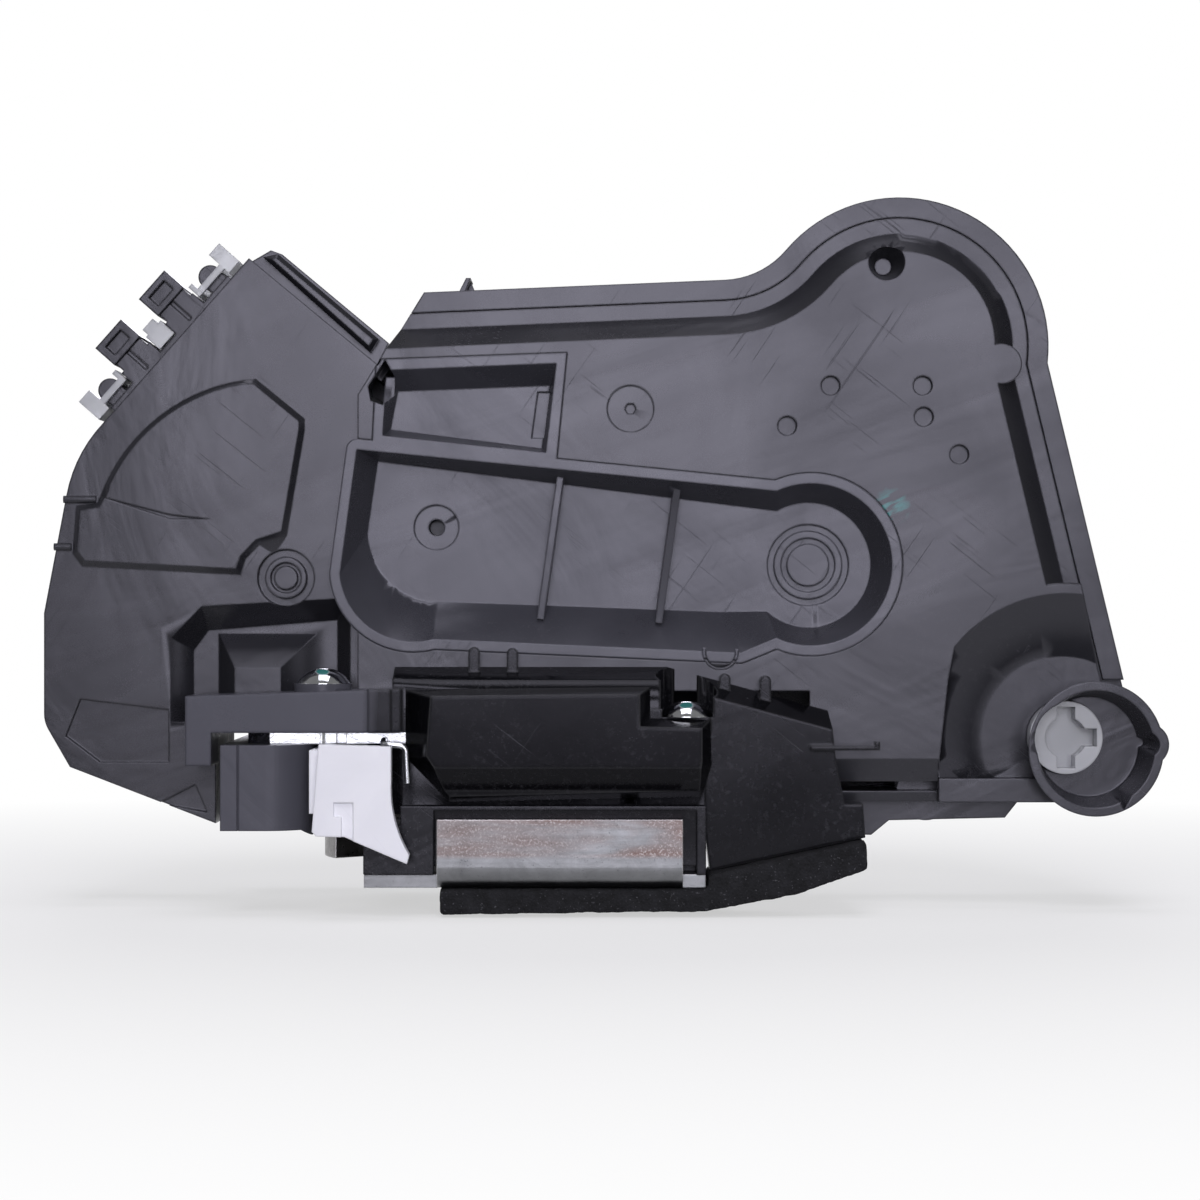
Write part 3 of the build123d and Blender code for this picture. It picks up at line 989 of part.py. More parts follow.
# ---------------------------------------------------------------- assembly
def build():
    keep("front_cover", make_front_cover())
    keep("cover_insert", make_cover_insert())
    keep("key_guide", make_key_guide())
    keep("rear_housing", make_rear_housing())
    keep("housing_rim", make_housing_rim())
    keep("cable_bush", make_cable_bush())
    keep("connector_housing", make_connector_housing())
    keep("connector_lock", make_connector_lock())
    keep("terminals", make_terminals())
    keep("circuit_carrier", make_circuit_carrier())
    keep("carrier_screws", Compound(children=[carrier_screw(x, z) for x, z in CARRIER_POSTS]))
    keep("position_sensors", make_position_sensors())
    keep("cover_screws", Compound(children=[cover_screw(*place) for place in (CHANNEL_HOLE, TOP_SCREW)]))
    keep("lock_motor", make_lock_motor())
    keep("motor_cap", make_motor_cap())
    keep("worm", make_worm())
    keep("lock_gear", make_lock_gear())
    keep("gear_pin", make_gear_pin())
    keep("lock_lever", make_lock_lever())
    keep("release_lever", make_release_lever())
    keep("inside_lever", make_inside_lever())
    for name in LEVERS:
        keep(name + "_lever_pin", lever_pin(name))
    keep("key_coupling", make_key_coupling())
    keep("key_lever", make_key_lever())
    keep("face_plate", make_face_plate())
    keep("back_plate", make_back_plate())
    keep("claw", make_claw())
    keep("claw_pin", rivet_pin(CLAW_X, CLAW_Y))
    keep("claw_spring", torsion_spring(CLAW_X, CLAW_Y, 6.6, 0.8, 3))
    keep("pawl", make_pawl())
    keep("pawl_pin", rivet_pin(PAWL_X, PAWL_Y))
    keep("pawl_spring", torsion_spring(PAWL_X, PAWL_Y, 5.4, 0.6, 4))
    keep("retaining_wire", make_retaining_wire())
    keep("latch_housing", make_latch_housing())
    keep("mouth_bumper", make_mouth_bumper())
    keep("latch_frame", make_latch_frame())
    keep("mechanism_cover", make_mechanism_cover())
    keep("shipping_plug", make_shipping_plug())
    keep("foam_seal", make_foam_seal())
    keep("frame_screws", Compound(children=[frame_screw(*place) for place in FRAME_SCREWS]))


build()
os.makedirs("parts", exist_ok=True)
for part_name, solid in PARTS.items():
    export_step(solid, os.path.join("parts", part_name + ".step"))
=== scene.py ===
import json
from math import atan, pi, radians
from typing import NamedTuple

import bpy
from bpy.props import FloatProperty, FloatVectorProperty, PointerProperty
from bpy.types import NodeSocket, Operator, Panel, PropertyGroup
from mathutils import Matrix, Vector


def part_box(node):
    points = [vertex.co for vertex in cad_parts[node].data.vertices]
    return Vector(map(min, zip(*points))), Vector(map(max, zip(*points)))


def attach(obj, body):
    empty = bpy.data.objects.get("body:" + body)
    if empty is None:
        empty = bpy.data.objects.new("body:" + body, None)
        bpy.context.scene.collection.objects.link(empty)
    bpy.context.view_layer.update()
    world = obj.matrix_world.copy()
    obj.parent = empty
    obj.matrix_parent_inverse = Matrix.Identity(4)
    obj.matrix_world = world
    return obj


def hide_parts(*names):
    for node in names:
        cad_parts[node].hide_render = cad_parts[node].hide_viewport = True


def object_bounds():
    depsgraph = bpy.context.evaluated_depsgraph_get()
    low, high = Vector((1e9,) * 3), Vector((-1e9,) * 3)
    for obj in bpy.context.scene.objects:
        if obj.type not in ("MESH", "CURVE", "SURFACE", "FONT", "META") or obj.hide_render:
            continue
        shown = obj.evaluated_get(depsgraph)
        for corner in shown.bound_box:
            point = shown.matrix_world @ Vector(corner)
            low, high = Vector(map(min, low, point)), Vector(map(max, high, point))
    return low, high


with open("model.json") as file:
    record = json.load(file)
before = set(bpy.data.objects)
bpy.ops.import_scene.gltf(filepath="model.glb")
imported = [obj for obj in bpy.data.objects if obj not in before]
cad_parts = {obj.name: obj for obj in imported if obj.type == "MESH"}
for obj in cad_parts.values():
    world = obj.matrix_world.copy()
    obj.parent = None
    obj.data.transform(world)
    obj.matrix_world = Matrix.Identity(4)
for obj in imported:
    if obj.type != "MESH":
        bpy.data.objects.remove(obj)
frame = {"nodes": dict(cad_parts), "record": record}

bl_info = {
    "name": "Door Latch Actuator",
    "version": (1, 0, 0),
    "blender": (4, 5, 0),
    "location": "View3D > Sidebar > Latch",
    "description": "Finishes the pieces of a vehicle door latch and lights them in a plain studio",
    "category": "Object",
}

MM = 0.001
CAD_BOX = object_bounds()
BODY_OF = {node: body for body, nodes in frame["record"]["behaviour"]["bodies"].items()
           for node in nodes}

# ---------------------------------------------------------------- joining and shading
WELD = 0.001 * MM                   # corners nearer than this are one
FLAT = radians(0.4)                 # faces that turn less than this are one
CURVED = radians(17.0)              # faces that turn less than this shade as one curve
FOAM_CURVED = radians(50.0)
FOAM_VOXEL = 0.45 * MM
FOAM_LUMP, FOAM_LUMP_HEIGHT = 4.0 * MM, 0.3 * MM
FOAM_CELL, FOAM_CELL_HEIGHT = 1.1 * MM, 0.2 * MM
FOAM_LEVEL = 0.6                    # the texture's value that leaves the skin where it is


# ---------------------------------------------------------------- patterns
class Noise(NamedTuple):
    """A noise: its cells to the metre, its detail, and its stretch and turn on the piece."""
    cells: float
    detail: float
    wander: float = 0.0
    rough: float = 0.5
    stretch: tuple = None
    turn: tuple = (0.0, 0.0, 0.0)


class Scratches(NamedTuple):
    """Straight scratches: lines to the metre, the way they lie, and how few there are."""
    lines: float
    turn: tuple
    rarity: float


MOST = (0.3, 0.7)                   # nearly all of a noise's values lie between these
CLOUDED = (0.35, 0.70)

FLOW_MARKS = Noise(26.0, 4.0, wander=1.6, stretch=(1.0, 1.0, 0.55), turn=(0.0, 0.5, 0.0))
STREAKS = Noise(34.0, 3.0, wander=0.8, stretch=(0.35, 1.0, 2.2), turn=(0.0, 0.35, 0.0))
MOULD_GRAIN = Noise(5200.0, 2.0)
MOULD_GRAIN_DEPTH = 0.008 * MM
SCUFFS = (Scratches(2600.0, (0.0, 0.9, 0.0), 0.665),
          Scratches(2100.0, (0.0, -0.6, 0.3), 0.675))
SCUFF_DEPTH = 0.03 * MM
SCUFF_GREY = (0.16, 0.16, 0.18)
SCRATCH_LENGTH = 0.012              # the stretch that makes a scratch of a cell
SCRATCH_STEP = 0.035
SCRATCH_PATCHES = Noise(55.0, 2.0)
PLASTIC_TINT = (0.90, 0.89, 1.0)

DUST_GRAINS = 2300.0
DUST_HAZE = Noise(900.0, 4.0, rough=0.7)
DUST_PATCHES = Noise(30.0, 3.0)
DUST_GREY = (0.20, 0.20, 0.22)
LIGHTER_GAIN = 1.7                     # the lighter, rougher plastic over the plain grey
LIGHTER_STEP, LIGHTER_STRAY = 3.0 * MM, 4.0 * MM
SMUDGE_STREAKS = Noise(420.0, 3.0, stretch=(0.35, 1.0, 1.4), turn=(0.0, 0.5, 0.0))
SMUDGE_STRAY = 2.0 * MM
PAINT_EDGE = Noise(700.0, 3.0)

CLEAR_SWIRL = Noise(60.0, 4.0, wander=1.2)
CLEAR_SWIRL_DEPTH = 0.08 * MM
CLEAR_MARKS = Scratches(1800.0, (0.0, 0.7, 0.0), 0.66)
CLEAR_MARK_GREY = (0.35, 0.35, 0.36)
CLEAR_EDGE = (0.95, 0.95, 0.97)
CLEAR_GRAIN = Noise(3800.0, 2.0)
CLEAR_GRAIN_DEPTH = 0.006 * MM
CLEAR_REACH = (2.0 * MM, 2.0 * MM, 2.2 * MM)

PLATE_ROUND = 0.3 * MM
ROLLING_LINES = Noise(1.0, 3.0, rough=0.6, stretch=(35.0, 900.0, 900.0))
ROLLING_DEPTH = 0.018 * MM
PLATE_CLOUDS = Noise(140.0, 5.0, wander=0.8, rough=0.65)
PITS = Noise(1900.0, 3.0, rough=0.7)
WORN_ZINC = (0.85, 0.85, 0.86)
TARNISH_STAIN = Noise(1.0, 4.0, wander=0.6, stretch=(30.0, 30.0, 160.0))
TARNISH_STEP = 0.9 * MM
TARNISH = (0.13, 0.085, 0.075)
SPARKLES = Noise(2400.0, 2.0, rough=0.7)
SPARKLE = (0.42, 0.40, 0.40)

BRIGHT_ROUND = 0.2 * MM
BRIGHT_CLOUDS = Noise(260.0, 4.0, wander=0.6)
BRIGHT_CLOUD_DEPTH = 0.02 * MM
DRAWN_LINES = Noise(1.0, 2.0, stretch=(1500.0, 1500.0, 120.0))
DRAWN_DEPTH = 0.004 * MM
DAB_REACH, DAB_STRAY = 2.2 * MM, 1.2 * MM

FOAM_PORES = 1900.0
FOAM_PORE_DEPTH = 0.22 * MM
FOAM_CLUMPS = Noise(420.0, 4.0, rough=0.7)
FOAM_CLUMP_DEPTH = 0.25 * MM
FOAM_SPECKS = Noise(2300.0, 2.0)
FOAM_SPECK_GREY = (0.10, 0.10, 0.11)
FOAM_DARK, FOAM_LIGHT = (0.008, 0.008, 0.009), (0.022, 0.022, 0.025)

RUBBER_ROUND = 0.4 * MM
RUBBER_BLOOM = Noise(160.0, 4.0, wander=0.8)
RUBBER_GRAIN = Noise(2400.0, 3.0)
RUBBER_GRAIN_DEPTH = 0.03 * MM
RUBBER_DARK, RUBBER_LIGHT = (0.012, 0.012, 0.012), (0.035, 0.035, 0.036)

# ---------------------------------------------------------------- places on the latch
SMUDGE_PLACE, SMUDGE_REACH = (0.1035, 0.0, 0.0708), 4.8 * MM
FLANGE_BEND = 5.5 * MM              # over the face plate's underside
LEFT_SCREW, RIGHT_SCREW = (-0.0032, -0.0090), (0.0646, -0.0085)
RIGHT_SCREW_LOWER = 6.2 * MM
BLOCK_LIGHTER_UNTIL, FRAME_LIGHTER_UNTIL = 4.0 * MM, 6.0 * MM

# ---------------------------------------------------------------- studio
VIEW_CENTRE = Vector((0.04845, 0.0, 0.0532))
VIEW_PLANE = 4.0 * MM               # the depth at which the width of the view is measured
FLOOR_SIZE, FLOOR_GAP = 16.0, 0.5 * MM
FLOOR_CENTRE_Y = 0.02
PAPER_FIBRES = Noise(900.0, 3.0)
SHADOW_REACH = (0.10, 0.34)         # the glow of the paper grows between these distances
MIRROR_REACH = (0.12, 0.45)
WHITE = (1.0, 1.0, 1.0)
CARDS = (                           # name, size, place, power setting, share of it
    ("front_card", (0.60, 0.56), (0.075, -1.15, 0.28), "front_power", 1.0),
    ("high_card", (0.60, 0.40), (0.05, -0.85, 1.00), "high_power", 1.0),
    ("top_card", (0.50, 0.50), (0.05, 0.00, 1.05), "top_power", 1.0),
    ("left_card", (0.35, 0.70), (-1.00, -0.35, 0.40), "side_power", 1.0),
    ("right_card", (0.35, 0.70), (1.10, -0.35, 0.40), "side_power", 0.4),
    ("low_card", (0.30, 0.30), (0.75, -0.55, 0.12), "side_power", 1.0),
    ("rear_card", (0.80, 0.60), (0.05, 1.20, 0.55), "rear_power", 1.0),
)


# ---------------------------------------------------------------- user settings
def colour(name, text, value):
    return FloatVectorProperty(name=name, description=text, default=value, size=3,
                               subtype="COLOR", min=0.0, max=1.0)


def share(name, text, value):
    return FloatProperty(name=name, description=text, default=value, min=0.0, max=1.0,
                         subtype="FACTOR")


def length(name, text, value):
    return FloatProperty(name=name, description=text, default=value, min=0.0,
                         subtype="DISTANCE", unit="LENGTH")


def watts(name, text, value):
    return FloatProperty(name=name, description=text, default=value, min=0.0, unit="POWER")


class LATCH_PG_plastics(PropertyGroup):
    black: colour("Black", "Colour of the moulded black plastic", (0.014, 0.014, 0.017))
    deep_black: colour("Deep black", "Colour of the glossy black plastic", (0.003, 0.003, 0.004))
    # grey is the dull plastic's own colour, and the base of the lighter, rougher part left of a
    # line
    grey: colour("Worn black", "Colour of the dull, lighter black plastic", (0.044, 0.044, 0.053))
    white: colour("White", "Colour of the white plug", (0.93, 0.93, 0.98))
    natural: colour("Natural", "Colour of the unfilled, translucent plastic", (0.62, 0.63, 0.66))
    acetal: colour("Acetal", "Colour of the gear and the lock lever", (0.70, 0.70, 0.66))
    carrier: colour("Carrier", "Colour of the circuit carrier", (0.03, 0.032, 0.03))
    satin: share("Satin roughness", "Roughness of the textured covers", 0.27)
    polish: share("Polished roughness", "Roughness of the glossy covers", 0.12)
    edge_round: length("Edge rounding", "Radius that softens moulded edges", 0.45 * MM)
    flow: share("Flow marks", "Strength of the moulding's flow marks", 0.5)
    scuffs: share("Scuffs", "Strength of the fine handling scratches", 0.5)


class LATCH_PG_metals(PropertyGroup):
    zinc: colour("Zinc", "Colour of the zinc plating", (0.62, 0.63, 0.66))
    steel: colour("Steel", "Colour of the bare and hardened steel", (0.40, 0.39, 0.39))
    ground: colour("Ground steel", "Colour of the pins and shafts", (0.60, 0.60, 0.62))
    dark: colour("Dark plating", "Colour of the cover's screws", (0.05, 0.05, 0.055))
    tinned: colour("Tinned brass", "Colour of the terminals", (0.72, 0.70, 0.62))
    chromium: colour("Chromium", "Colour of the bright screws", (0.86, 0.87, 0.90))
    dab: colour("Paint dab", "Colour of the inspection paint", (0.02, 0.16, 0.15))


class LATCH_PG_studio(PropertyGroup):
    paper: colour("Paper", "Colour of the floor", (0.90, 0.90, 0.90))
    front_power: watts("Front light", "Power of the light behind the camera", 6.6)
    high_power: watts("High light", "Power of the light high in front", 4.2)
    top_power: watts("Top light", "Power of the light overhead", 2.4)
    side_power: watts("Side lights", "Power of each light at the side", 0.3)
    rear_power: watts("Rear light", "Power of the light behind the latch", 5.0)
    lamp: colour("Lamps", "Colour of the lamps", (0.93, 0.92, 1.0))
    ambient: share("Ambient", "Strength of the light from all round", 0.09)
    mirrored: share("Mirrored room", "Strength of the room in reflections", 0.10)
    camera_distance: length("Camera distance", "From the camera to the front of the latch", 0.6)
    view_width: length("View width", "Width seen at that distance", 0.228)


def plastics():
    return bpy.context.scene.latch_plastics


def metals():
    return bpy.context.scene.latch_metals


def scaled(tint, gain, lift=0.0):
    """A colour made lighter or darker."""
    return tuple(part * gain + lift for part in tint)


# ---------------------------------------------------------------- selecting and shaping
def only(piece):
    """Selects just this piece and makes it active."""
    bpy.ops.object.select_all(action="DESELECT")
    piece.select_set(True)
    bpy.context.view_layer.objects.active = piece


def added(name):
    """Names the piece an operator has just added, with its place moved into its mesh."""
    piece = bpy.context.view_layer.objects.active
    piece.name = name
    piece.data.name = name
    only(piece)
    bpy.ops.object.transform_apply(location=True, rotation=True, scale=True)
    return piece


def placed(piece, node, finish):
    """Gives a piece its finish and its body, and hides the node it stands for."""
    piece.data.materials.clear()
    piece.data.materials.append(finish)
    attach(piece, BODY_OF[node])
    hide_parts(node)


def coat(node, finish):
    """Gives a carried-over node its finish."""
    mesh = frame["nodes"][node].data
    mesh.materials.clear()
    mesh.materials.append(finish)


def joined_copy(node, flatten):
    """A copy of a node with its loose triangles joined, and its flat faces too on request."""
    piece = bpy.data.objects.new(node + "_skin", frame["nodes"][node].data.copy())
    bpy.context.scene.collection.objects.link(piece)
    only(piece)
    bpy.ops.object.mode_set(mode="EDIT")
    bpy.ops.mesh.select_all(action="SELECT")
    bpy.ops.mesh.remove_doubles(threshold=WELD)
    if flatten:
        bpy.ops.mesh.dissolve_limited(angle_limit=FLAT)
    bpy.ops.object.mode_set(mode="OBJECT")
    return piece


def shaped(piece, kind, **settings):
    """Adds a modifier with these settings and applies it."""
    bpy.ops.object.modifier_add(type=kind)
    step = piece.modifiers[-1]
    for key, value in settings.items():
        setattr(step, key, value)
    bpy.ops.object.modifier_apply(modifier=step.name)


def refined(node, finish):
    """A copy of a node whose curved faces shade smoothly stands for it."""
    piece = joined_copy(node, flatten=True)
    bpy.ops.object.shade_smooth_by_angle(angle=CURVED)
    shaped(piece, "WEIGHTED_NORMAL", keep_sharp=True)
    placed(piece, node, finish)


def foamed(node, finish):
    """A soft, rounded and slightly uneven copy of a foam node, with open cells on its skin."""
    piece = joined_copy(node, flatten=False)
    lumps = bpy.data.textures.new(node + "_lumps", "CLOUDS")
    lumps.noise_scale, lumps.noise_depth = FOAM_LUMP, 2
    cells = bpy.data.textures.new(node + "_cells", "VORONOI")
    cells.noise_scale = FOAM_CELL
    shaped(piece, "REMESH", mode="VOXEL", voxel_size=FOAM_VOXEL)
    shaped(piece, "SMOOTH", factor=0.5, iterations=6)
    shaped(piece, "DISPLACE", texture=lumps, strength=FOAM_LUMP_HEIGHT, mid_level=FOAM_LEVEL)
    shaped(piece, "DISPLACE", texture=cells, strength=FOAM_CELL_HEIGHT, mid_level=FOAM_LEVEL)
    bpy.ops.object.shade_smooth_by_angle(angle=FOAM_CURVED)
    placed(piece, node, finish)


# ---------------------------------------------------------------- building node trees
class Nodes:
    """Adds nodes to one tree, and links or sets their inputs."""

    def __init__(self, tree):
        self.tree = tree
        tree.nodes.clear()

    def feed(self, socket, value):
        """Links the value to the socket or sets it there; a colour gets its alpha."""
        if isinstance(value, NodeSocket):
            self.tree.links.new(value, socket)
        elif socket.type == "RGBA":
            socket.default_value = (*value, 1.0)
        else:
            socket.default_value = value

    def node(self, kind, inputs=None, **settings):
        """A new node; its inputs are named or numbered."""
        made = self.tree.nodes.new(kind)
        for key, value in settings.items():
            setattr(made, key, value)
        for key, value in (inputs or {}).items():
            self.feed(made.inputs[key], value)
        return made

    def reckon(self, how, *values):
        """The result of a Math node."""
        return self.node("ShaderNodeMath", dict(enumerate(values)), operation=how).outputs[0]

    def sum(self, first, second):
        return self.reckon("ADD", first, second)

    def times(self, first, second):
        return self.reckon("MULTIPLY", first, second)


class Recipe(Nodes):
    """Builds one material, node by node."""

    def __init__(self, name):
        self.material = bpy.data.materials.new(name)
        self.material.use_nodes = True
        super().__init__(self.material.node_tree)
        self.shader = self.node("ShaderNodeBsdfPrincipled")
        self.output = self.node("ShaderNodeOutputMaterial", {"Surface": self.shader.outputs[0]})
        self.place = self.node("ShaderNodeTexCoord").outputs["Object"]

    def along(self, axis):
        """The place on the piece along one axis, in metres."""
        return self.node("ShaderNodeSeparateXYZ", {0: self.place}).outputs[axis]

    def stretched(self, scale, turn):
        """The place on the piece, turned and then scaled along its own axes."""
        turned = self.node("ShaderNodeMapping", {"Vector": self.place, "Rotation": turn})
        return self.node("ShaderNodeMapping", {"Vector": turned.outputs[0],
                                               "Scale": scale}).outputs[0]

    def noise(self, kind):
        vector = self.stretched(kind.stretch, kind.turn) if kind.stretch else self.place
        return self.node("ShaderNodeTexNoise", {
            "Vector": vector, "Scale": kind.cells, "Detail": kind.detail,
            "Distortion": kind.wander, "Roughness": kind.rough}).outputs["Fac"]

    def spread(self, value, low, high, out_low=0.0, out_high=1.0):
        """Stretches low..high over out_low..out_high and clips what lies outside."""
        return self.node("ShaderNodeMapRange", {
            "Value": value, "From Min": low, "From Max": high,
            "To Min": out_low, "To Max": out_high}).outputs[0]

    def blend(self, how_far, first, second):
        """Goes from the first colour to the second."""
        return self.node("ShaderNodeMix", {0: how_far, 6: first, 7: second},
                         data_type="RGBA").outputs[2]

    def tint(self, shade, where, tint, strength):
        """Lays a colour over `shade`, as strongly as `where` and `strength` say."""
        return self.blend(self.times(where, strength), shade, tint)

    def bump(self, height, depth, under=None):
        inputs = {"Height": height, "Distance": depth}
        if under is not None:
            inputs["Normal"] = under
        return self.node("ShaderNodeBump", inputs).outputs[0]

    def rounded(self, radius):
        """Normals softened over the sharp edges, and how much of an edge is near."""
        soft = self.node("ShaderNodeBevel", {"Radius": radius}, samples=6).outputs[0]
        hard = self.node("ShaderNodeNewGeometry").outputs["Normal"]
        along = self.node("ShaderNodeVectorMath", {0: soft, 1: hard}, operation="DOT_PRODUCT")
        return soft, self.spread(along.outputs["Value"], 0.995, 0.80)

    def near(self, centre, reach, stray):
        """1 at a point of the piece, falling to 0 at `reach` from it, with a rough edge."""
        gap = self.node("ShaderNodeVectorMath", {0: self.place, 1: centre}, operation="DISTANCE")
        rough_gap = self.sum(gap.outputs["Value"], self.times(self.noise(PAINT_EDGE), stray))
        return self.spread(rough_gap, reach, reach * 0.6)

    def scratches(self, kind):
        """Thin straight scratches that lie one way, broken up into patches."""
        stretch = (kind.lines, kind.lines, kind.lines * SCRATCH_LENGTH)
        lines = self.noise(Noise(1.0, 2.0, stretch=stretch, turn=kind.turn))
        patches = self.spread(self.noise(SCRATCH_PATCHES), 0.50, 0.62)
        return self.times(self.spread(lines, kind.rarity, kind.rarity + SCRATCH_STEP), patches)

    def finish(self, shade, rough, normal=None, **others):
        """Feeds the shader and gives the material; constants are set on its own sockets."""
        inputs = {"Base Color": shade, "Roughness": rough}
        if normal is not None:
            inputs["Normal"] = normal
        inputs.update((name.replace("_", " "), value) for name, value in others.items())
        for name, value in inputs.items():
            self.feed(self.shader.inputs[name], value)
        return self.material


# ---------------------------------------------------------------- finishes
def lighter_left(r, shade, rough, flow, look, until):
    """Plastic made lighter and rougher left of `until`, with an edge that follows the flow."""
    place = r.sum(r.along("X"), r.times(flow, LIGHTER_STRAY))
    lighter_part = r.spread(place, until + LIGHTER_STEP, until)
    return r.blend(lighter_part, shade, scaled(look.grey, LIGHTER_GAIN)), r.sum(rough, r.times(lighter_part, 0.16))


def dusted(r, shade, rough, amount):
    """Dust that lies in patches: sparse specks and a fine haze."""
    grains = r.node("ShaderNodeTexVoronoi", {"Vector": r.place, "Scale": DUST_GRAINS})
    chance = r.node("ShaderNodeSeparateColor", {0: grains.outputs["Color"]}).outputs[0]
    specks = r.times(r.spread(grains.outputs["Distance"], 0.20, 0.12),
                     r.spread(chance, 0.80, 0.84))
    haze = r.times(r.spread(r.noise(DUST_HAZE), 0.55, 0.75), 0.5)
    settled = r.times(r.sum(specks, haze), r.spread(r.noise(DUST_PATCHES), 0.42, 0.60))
    settled = r.times(settled, amount)
    return r.blend(settled, shade, DUST_GREY), r.sum(rough, r.times(settled, 0.35))


def moulded(name, base, rough, look, dust=0.0, waviness=0.3 * MM, smudge=None, gloss=0.5,
            lighter_until=None, roundness=1.0, swirl=1.0, edge_highlight=0.0):
    """Injection-moulded plastic: fine grain, flow marks, scuffs, dust, and edges lightened by wear
    and by a painted highlight.

    `waviness` is how far the surface strays from flat, `swirl` the strength of its flow marks,
    `roundness` the radius of its edges over the usual one and `edge_highlight` how strongly a
    painted highlight lightens them beyond their wear. It is lighter and rougher left of
    `lighter_until`. `smudge` is a wiped paint mark's place, reach and colour.
    """
    r = Recipe(name)
    soft, edge = r.rounded(look.edge_round * roundness)
    flow, streaks, grain = r.noise(FLOW_MARKS), r.noise(STREAKS), r.noise(MOULD_GRAIN)
    scuff = r.times(r.sum(*(r.scratches(kind) for kind in SCUFFS)), look.scuffs)
    tone = r.spread(r.sum(flow, r.times(streaks, 0.6)), 0.55, 1.05)

    shade = r.blend(r.times(tone, look.flow * swirl), base, scaled(base, 1.7, 0.002))
    # Lighter edges: a 0.35 share is wear, and whatever is added to it is a painted highlight.
    shade = r.tint(shade, edge, scaled(base, 2.6, 0.01 + 0.10 * edge_highlight), 0.35 + edge_highlight)
    shade = r.tint(shade, scuff, SCUFF_GREY, 0.25)
    rough_out = r.sum(r.spread(tone, 0.0, 1.0, rough - 0.05 * swirl, rough + 0.07 * swirl),
                      r.times(scuff, 0.22))
    rough_out = r.sum(rough_out, r.times(r.spread(grain, *MOST), 0.03))
    if lighter_until is not None:
        shade, rough_out = lighter_left(r, shade, rough_out, flow, look, lighter_until)
    if dust:
        shade, rough_out = dusted(r, shade, rough_out, dust)
    if smudge:
        centre, reach, paint = smudge
        wiped = r.spread(r.noise(SMUDGE_STREAKS), 0.48, 0.56)
        shade = r.tint(shade, r.near(centre, reach, SMUDGE_STRAY), paint, wiped)

    normal = r.bump(r.sum(flow, r.times(streaks, 0.5)), waviness, soft)
    normal = r.bump(r.times(scuff, -1.0), SCUFF_DEPTH, normal)
    normal = r.bump(grain, MOULD_GRAIN_DEPTH, normal)
    return r.finish(shade, rough_out, normal, IOR=1.5, Specular_IOR_Level=gloss,
                    Specular_Tint=PLASTIC_TINT)


def clear_white(name, base, look, transmission, rough, subsurface=0.3):
    """White or natural plastic that light passes into, with faint swirls and handling marks."""
    r = Recipe(name)
    soft, edge = r.rounded(look.edge_round * 0.8)
    swirl = r.noise(CLEAR_SWIRL)
    marks = r.scratches(CLEAR_MARKS)
    shade = r.blend(r.spread(swirl, *CLOUDED), scaled(base, 0.93), base)
    shade = r.tint(shade, marks, CLEAR_MARK_GREY, 0.12)
    shade = r.tint(shade, edge, CLEAR_EDGE, 0.25)
    rough_out = r.sum(r.spread(swirl, *MOST, rough - 0.04, rough + 0.06), r.times(marks, 0.15))
    normal = r.bump(swirl, CLEAR_SWIRL_DEPTH, soft)
    normal = r.bump(r.noise(CLEAR_GRAIN), CLEAR_GRAIN_DEPTH, normal)
    return r.finish(shade, rough_out, normal, Transmission_Weight=transmission,
                    Subsurface_Weight=subsurface, Subsurface_Radius=CLEAR_REACH,
                    Subsurface_Scale=0.6, IOR=1.49)


def zinc_plate(name, base, rough, waviness=0.08 * MM, tarnished_above=None):
    """Plated sheet steel: rolling lines, cloudy plating and pits, tarnished brown above a line."""
    r = Recipe(name)
    soft, edge = r.rounded(PLATE_ROUND)
    rolled, cloud = r.noise(ROLLING_LINES), r.noise(PLATE_CLOUDS)
    pits = r.spread(r.noise(PITS), 0.62, 0.72)
    shade = r.blend(r.spread(cloud, *CLOUDED), scaled(base, 0.72), base)
    if tarnished_above is not None:
        stain = r.times(r.spread(r.noise(TARNISH_STAIN), 0.36, 0.60),
                        r.spread(r.along("Z"), tarnished_above, tarnished_above + TARNISH_STEP))
        sparkle = r.spread(r.noise(SPARKLES), 0.52, 0.66)
        shade = r.tint(shade, stain, TARNISH, 0.85)
        shade = r.tint(shade, r.times(stain, sparkle), SPARKLE, 0.6)
    shade = r.tint(shade, pits, scaled(base, 0.35), 0.45)
    shade = r.tint(shade, edge, WORN_ZINC, 0.6)
    rough_out = r.sum(r.spread(rolled, *MOST, rough - 0.07, rough + 0.08), r.times(pits, 0.25))
    normal = r.bump(cloud, waviness, soft)
    normal = r.bump(rolled, ROLLING_DEPTH, normal)
    return r.finish(shade, rough_out, normal, Metallic=1.0)


def bright_metal(name, base, rough, dab=None, dab_places=()):
    """Bright plating or ground steel, with dabs of inspection paint."""
    r = Recipe(name)
    soft, edge = r.rounded(BRIGHT_ROUND)
    cloud, lines = r.noise(BRIGHT_CLOUDS), r.noise(DRAWN_LINES)
    shade = r.blend(r.spread(cloud, *CLOUDED), scaled(base, 0.86), base)
    rough_out = r.sum(r.spread(lines, *MOST, rough - 0.02, rough + 0.05), r.times(edge, 0.04))
    metallic = 1.0
    if dab_places:
        cover = 0.0
        for centre in dab_places:
            cover = r.sum(cover, r.near(centre, DAB_REACH, DAB_STRAY))
        cover = r.spread(cover, 0.0, 0.5)
        shade = r.blend(cover, shade, dab)
        rough_out = r.sum(rough_out, r.times(cover, 0.25))
        metallic = r.reckon("SUBTRACT", 1.0, cover)
    normal = r.bump(cloud, BRIGHT_CLOUD_DEPTH, soft)
    normal = r.bump(lines, DRAWN_DEPTH, normal)
    return r.finish(shade, rough_out, normal, Metallic=metallic)


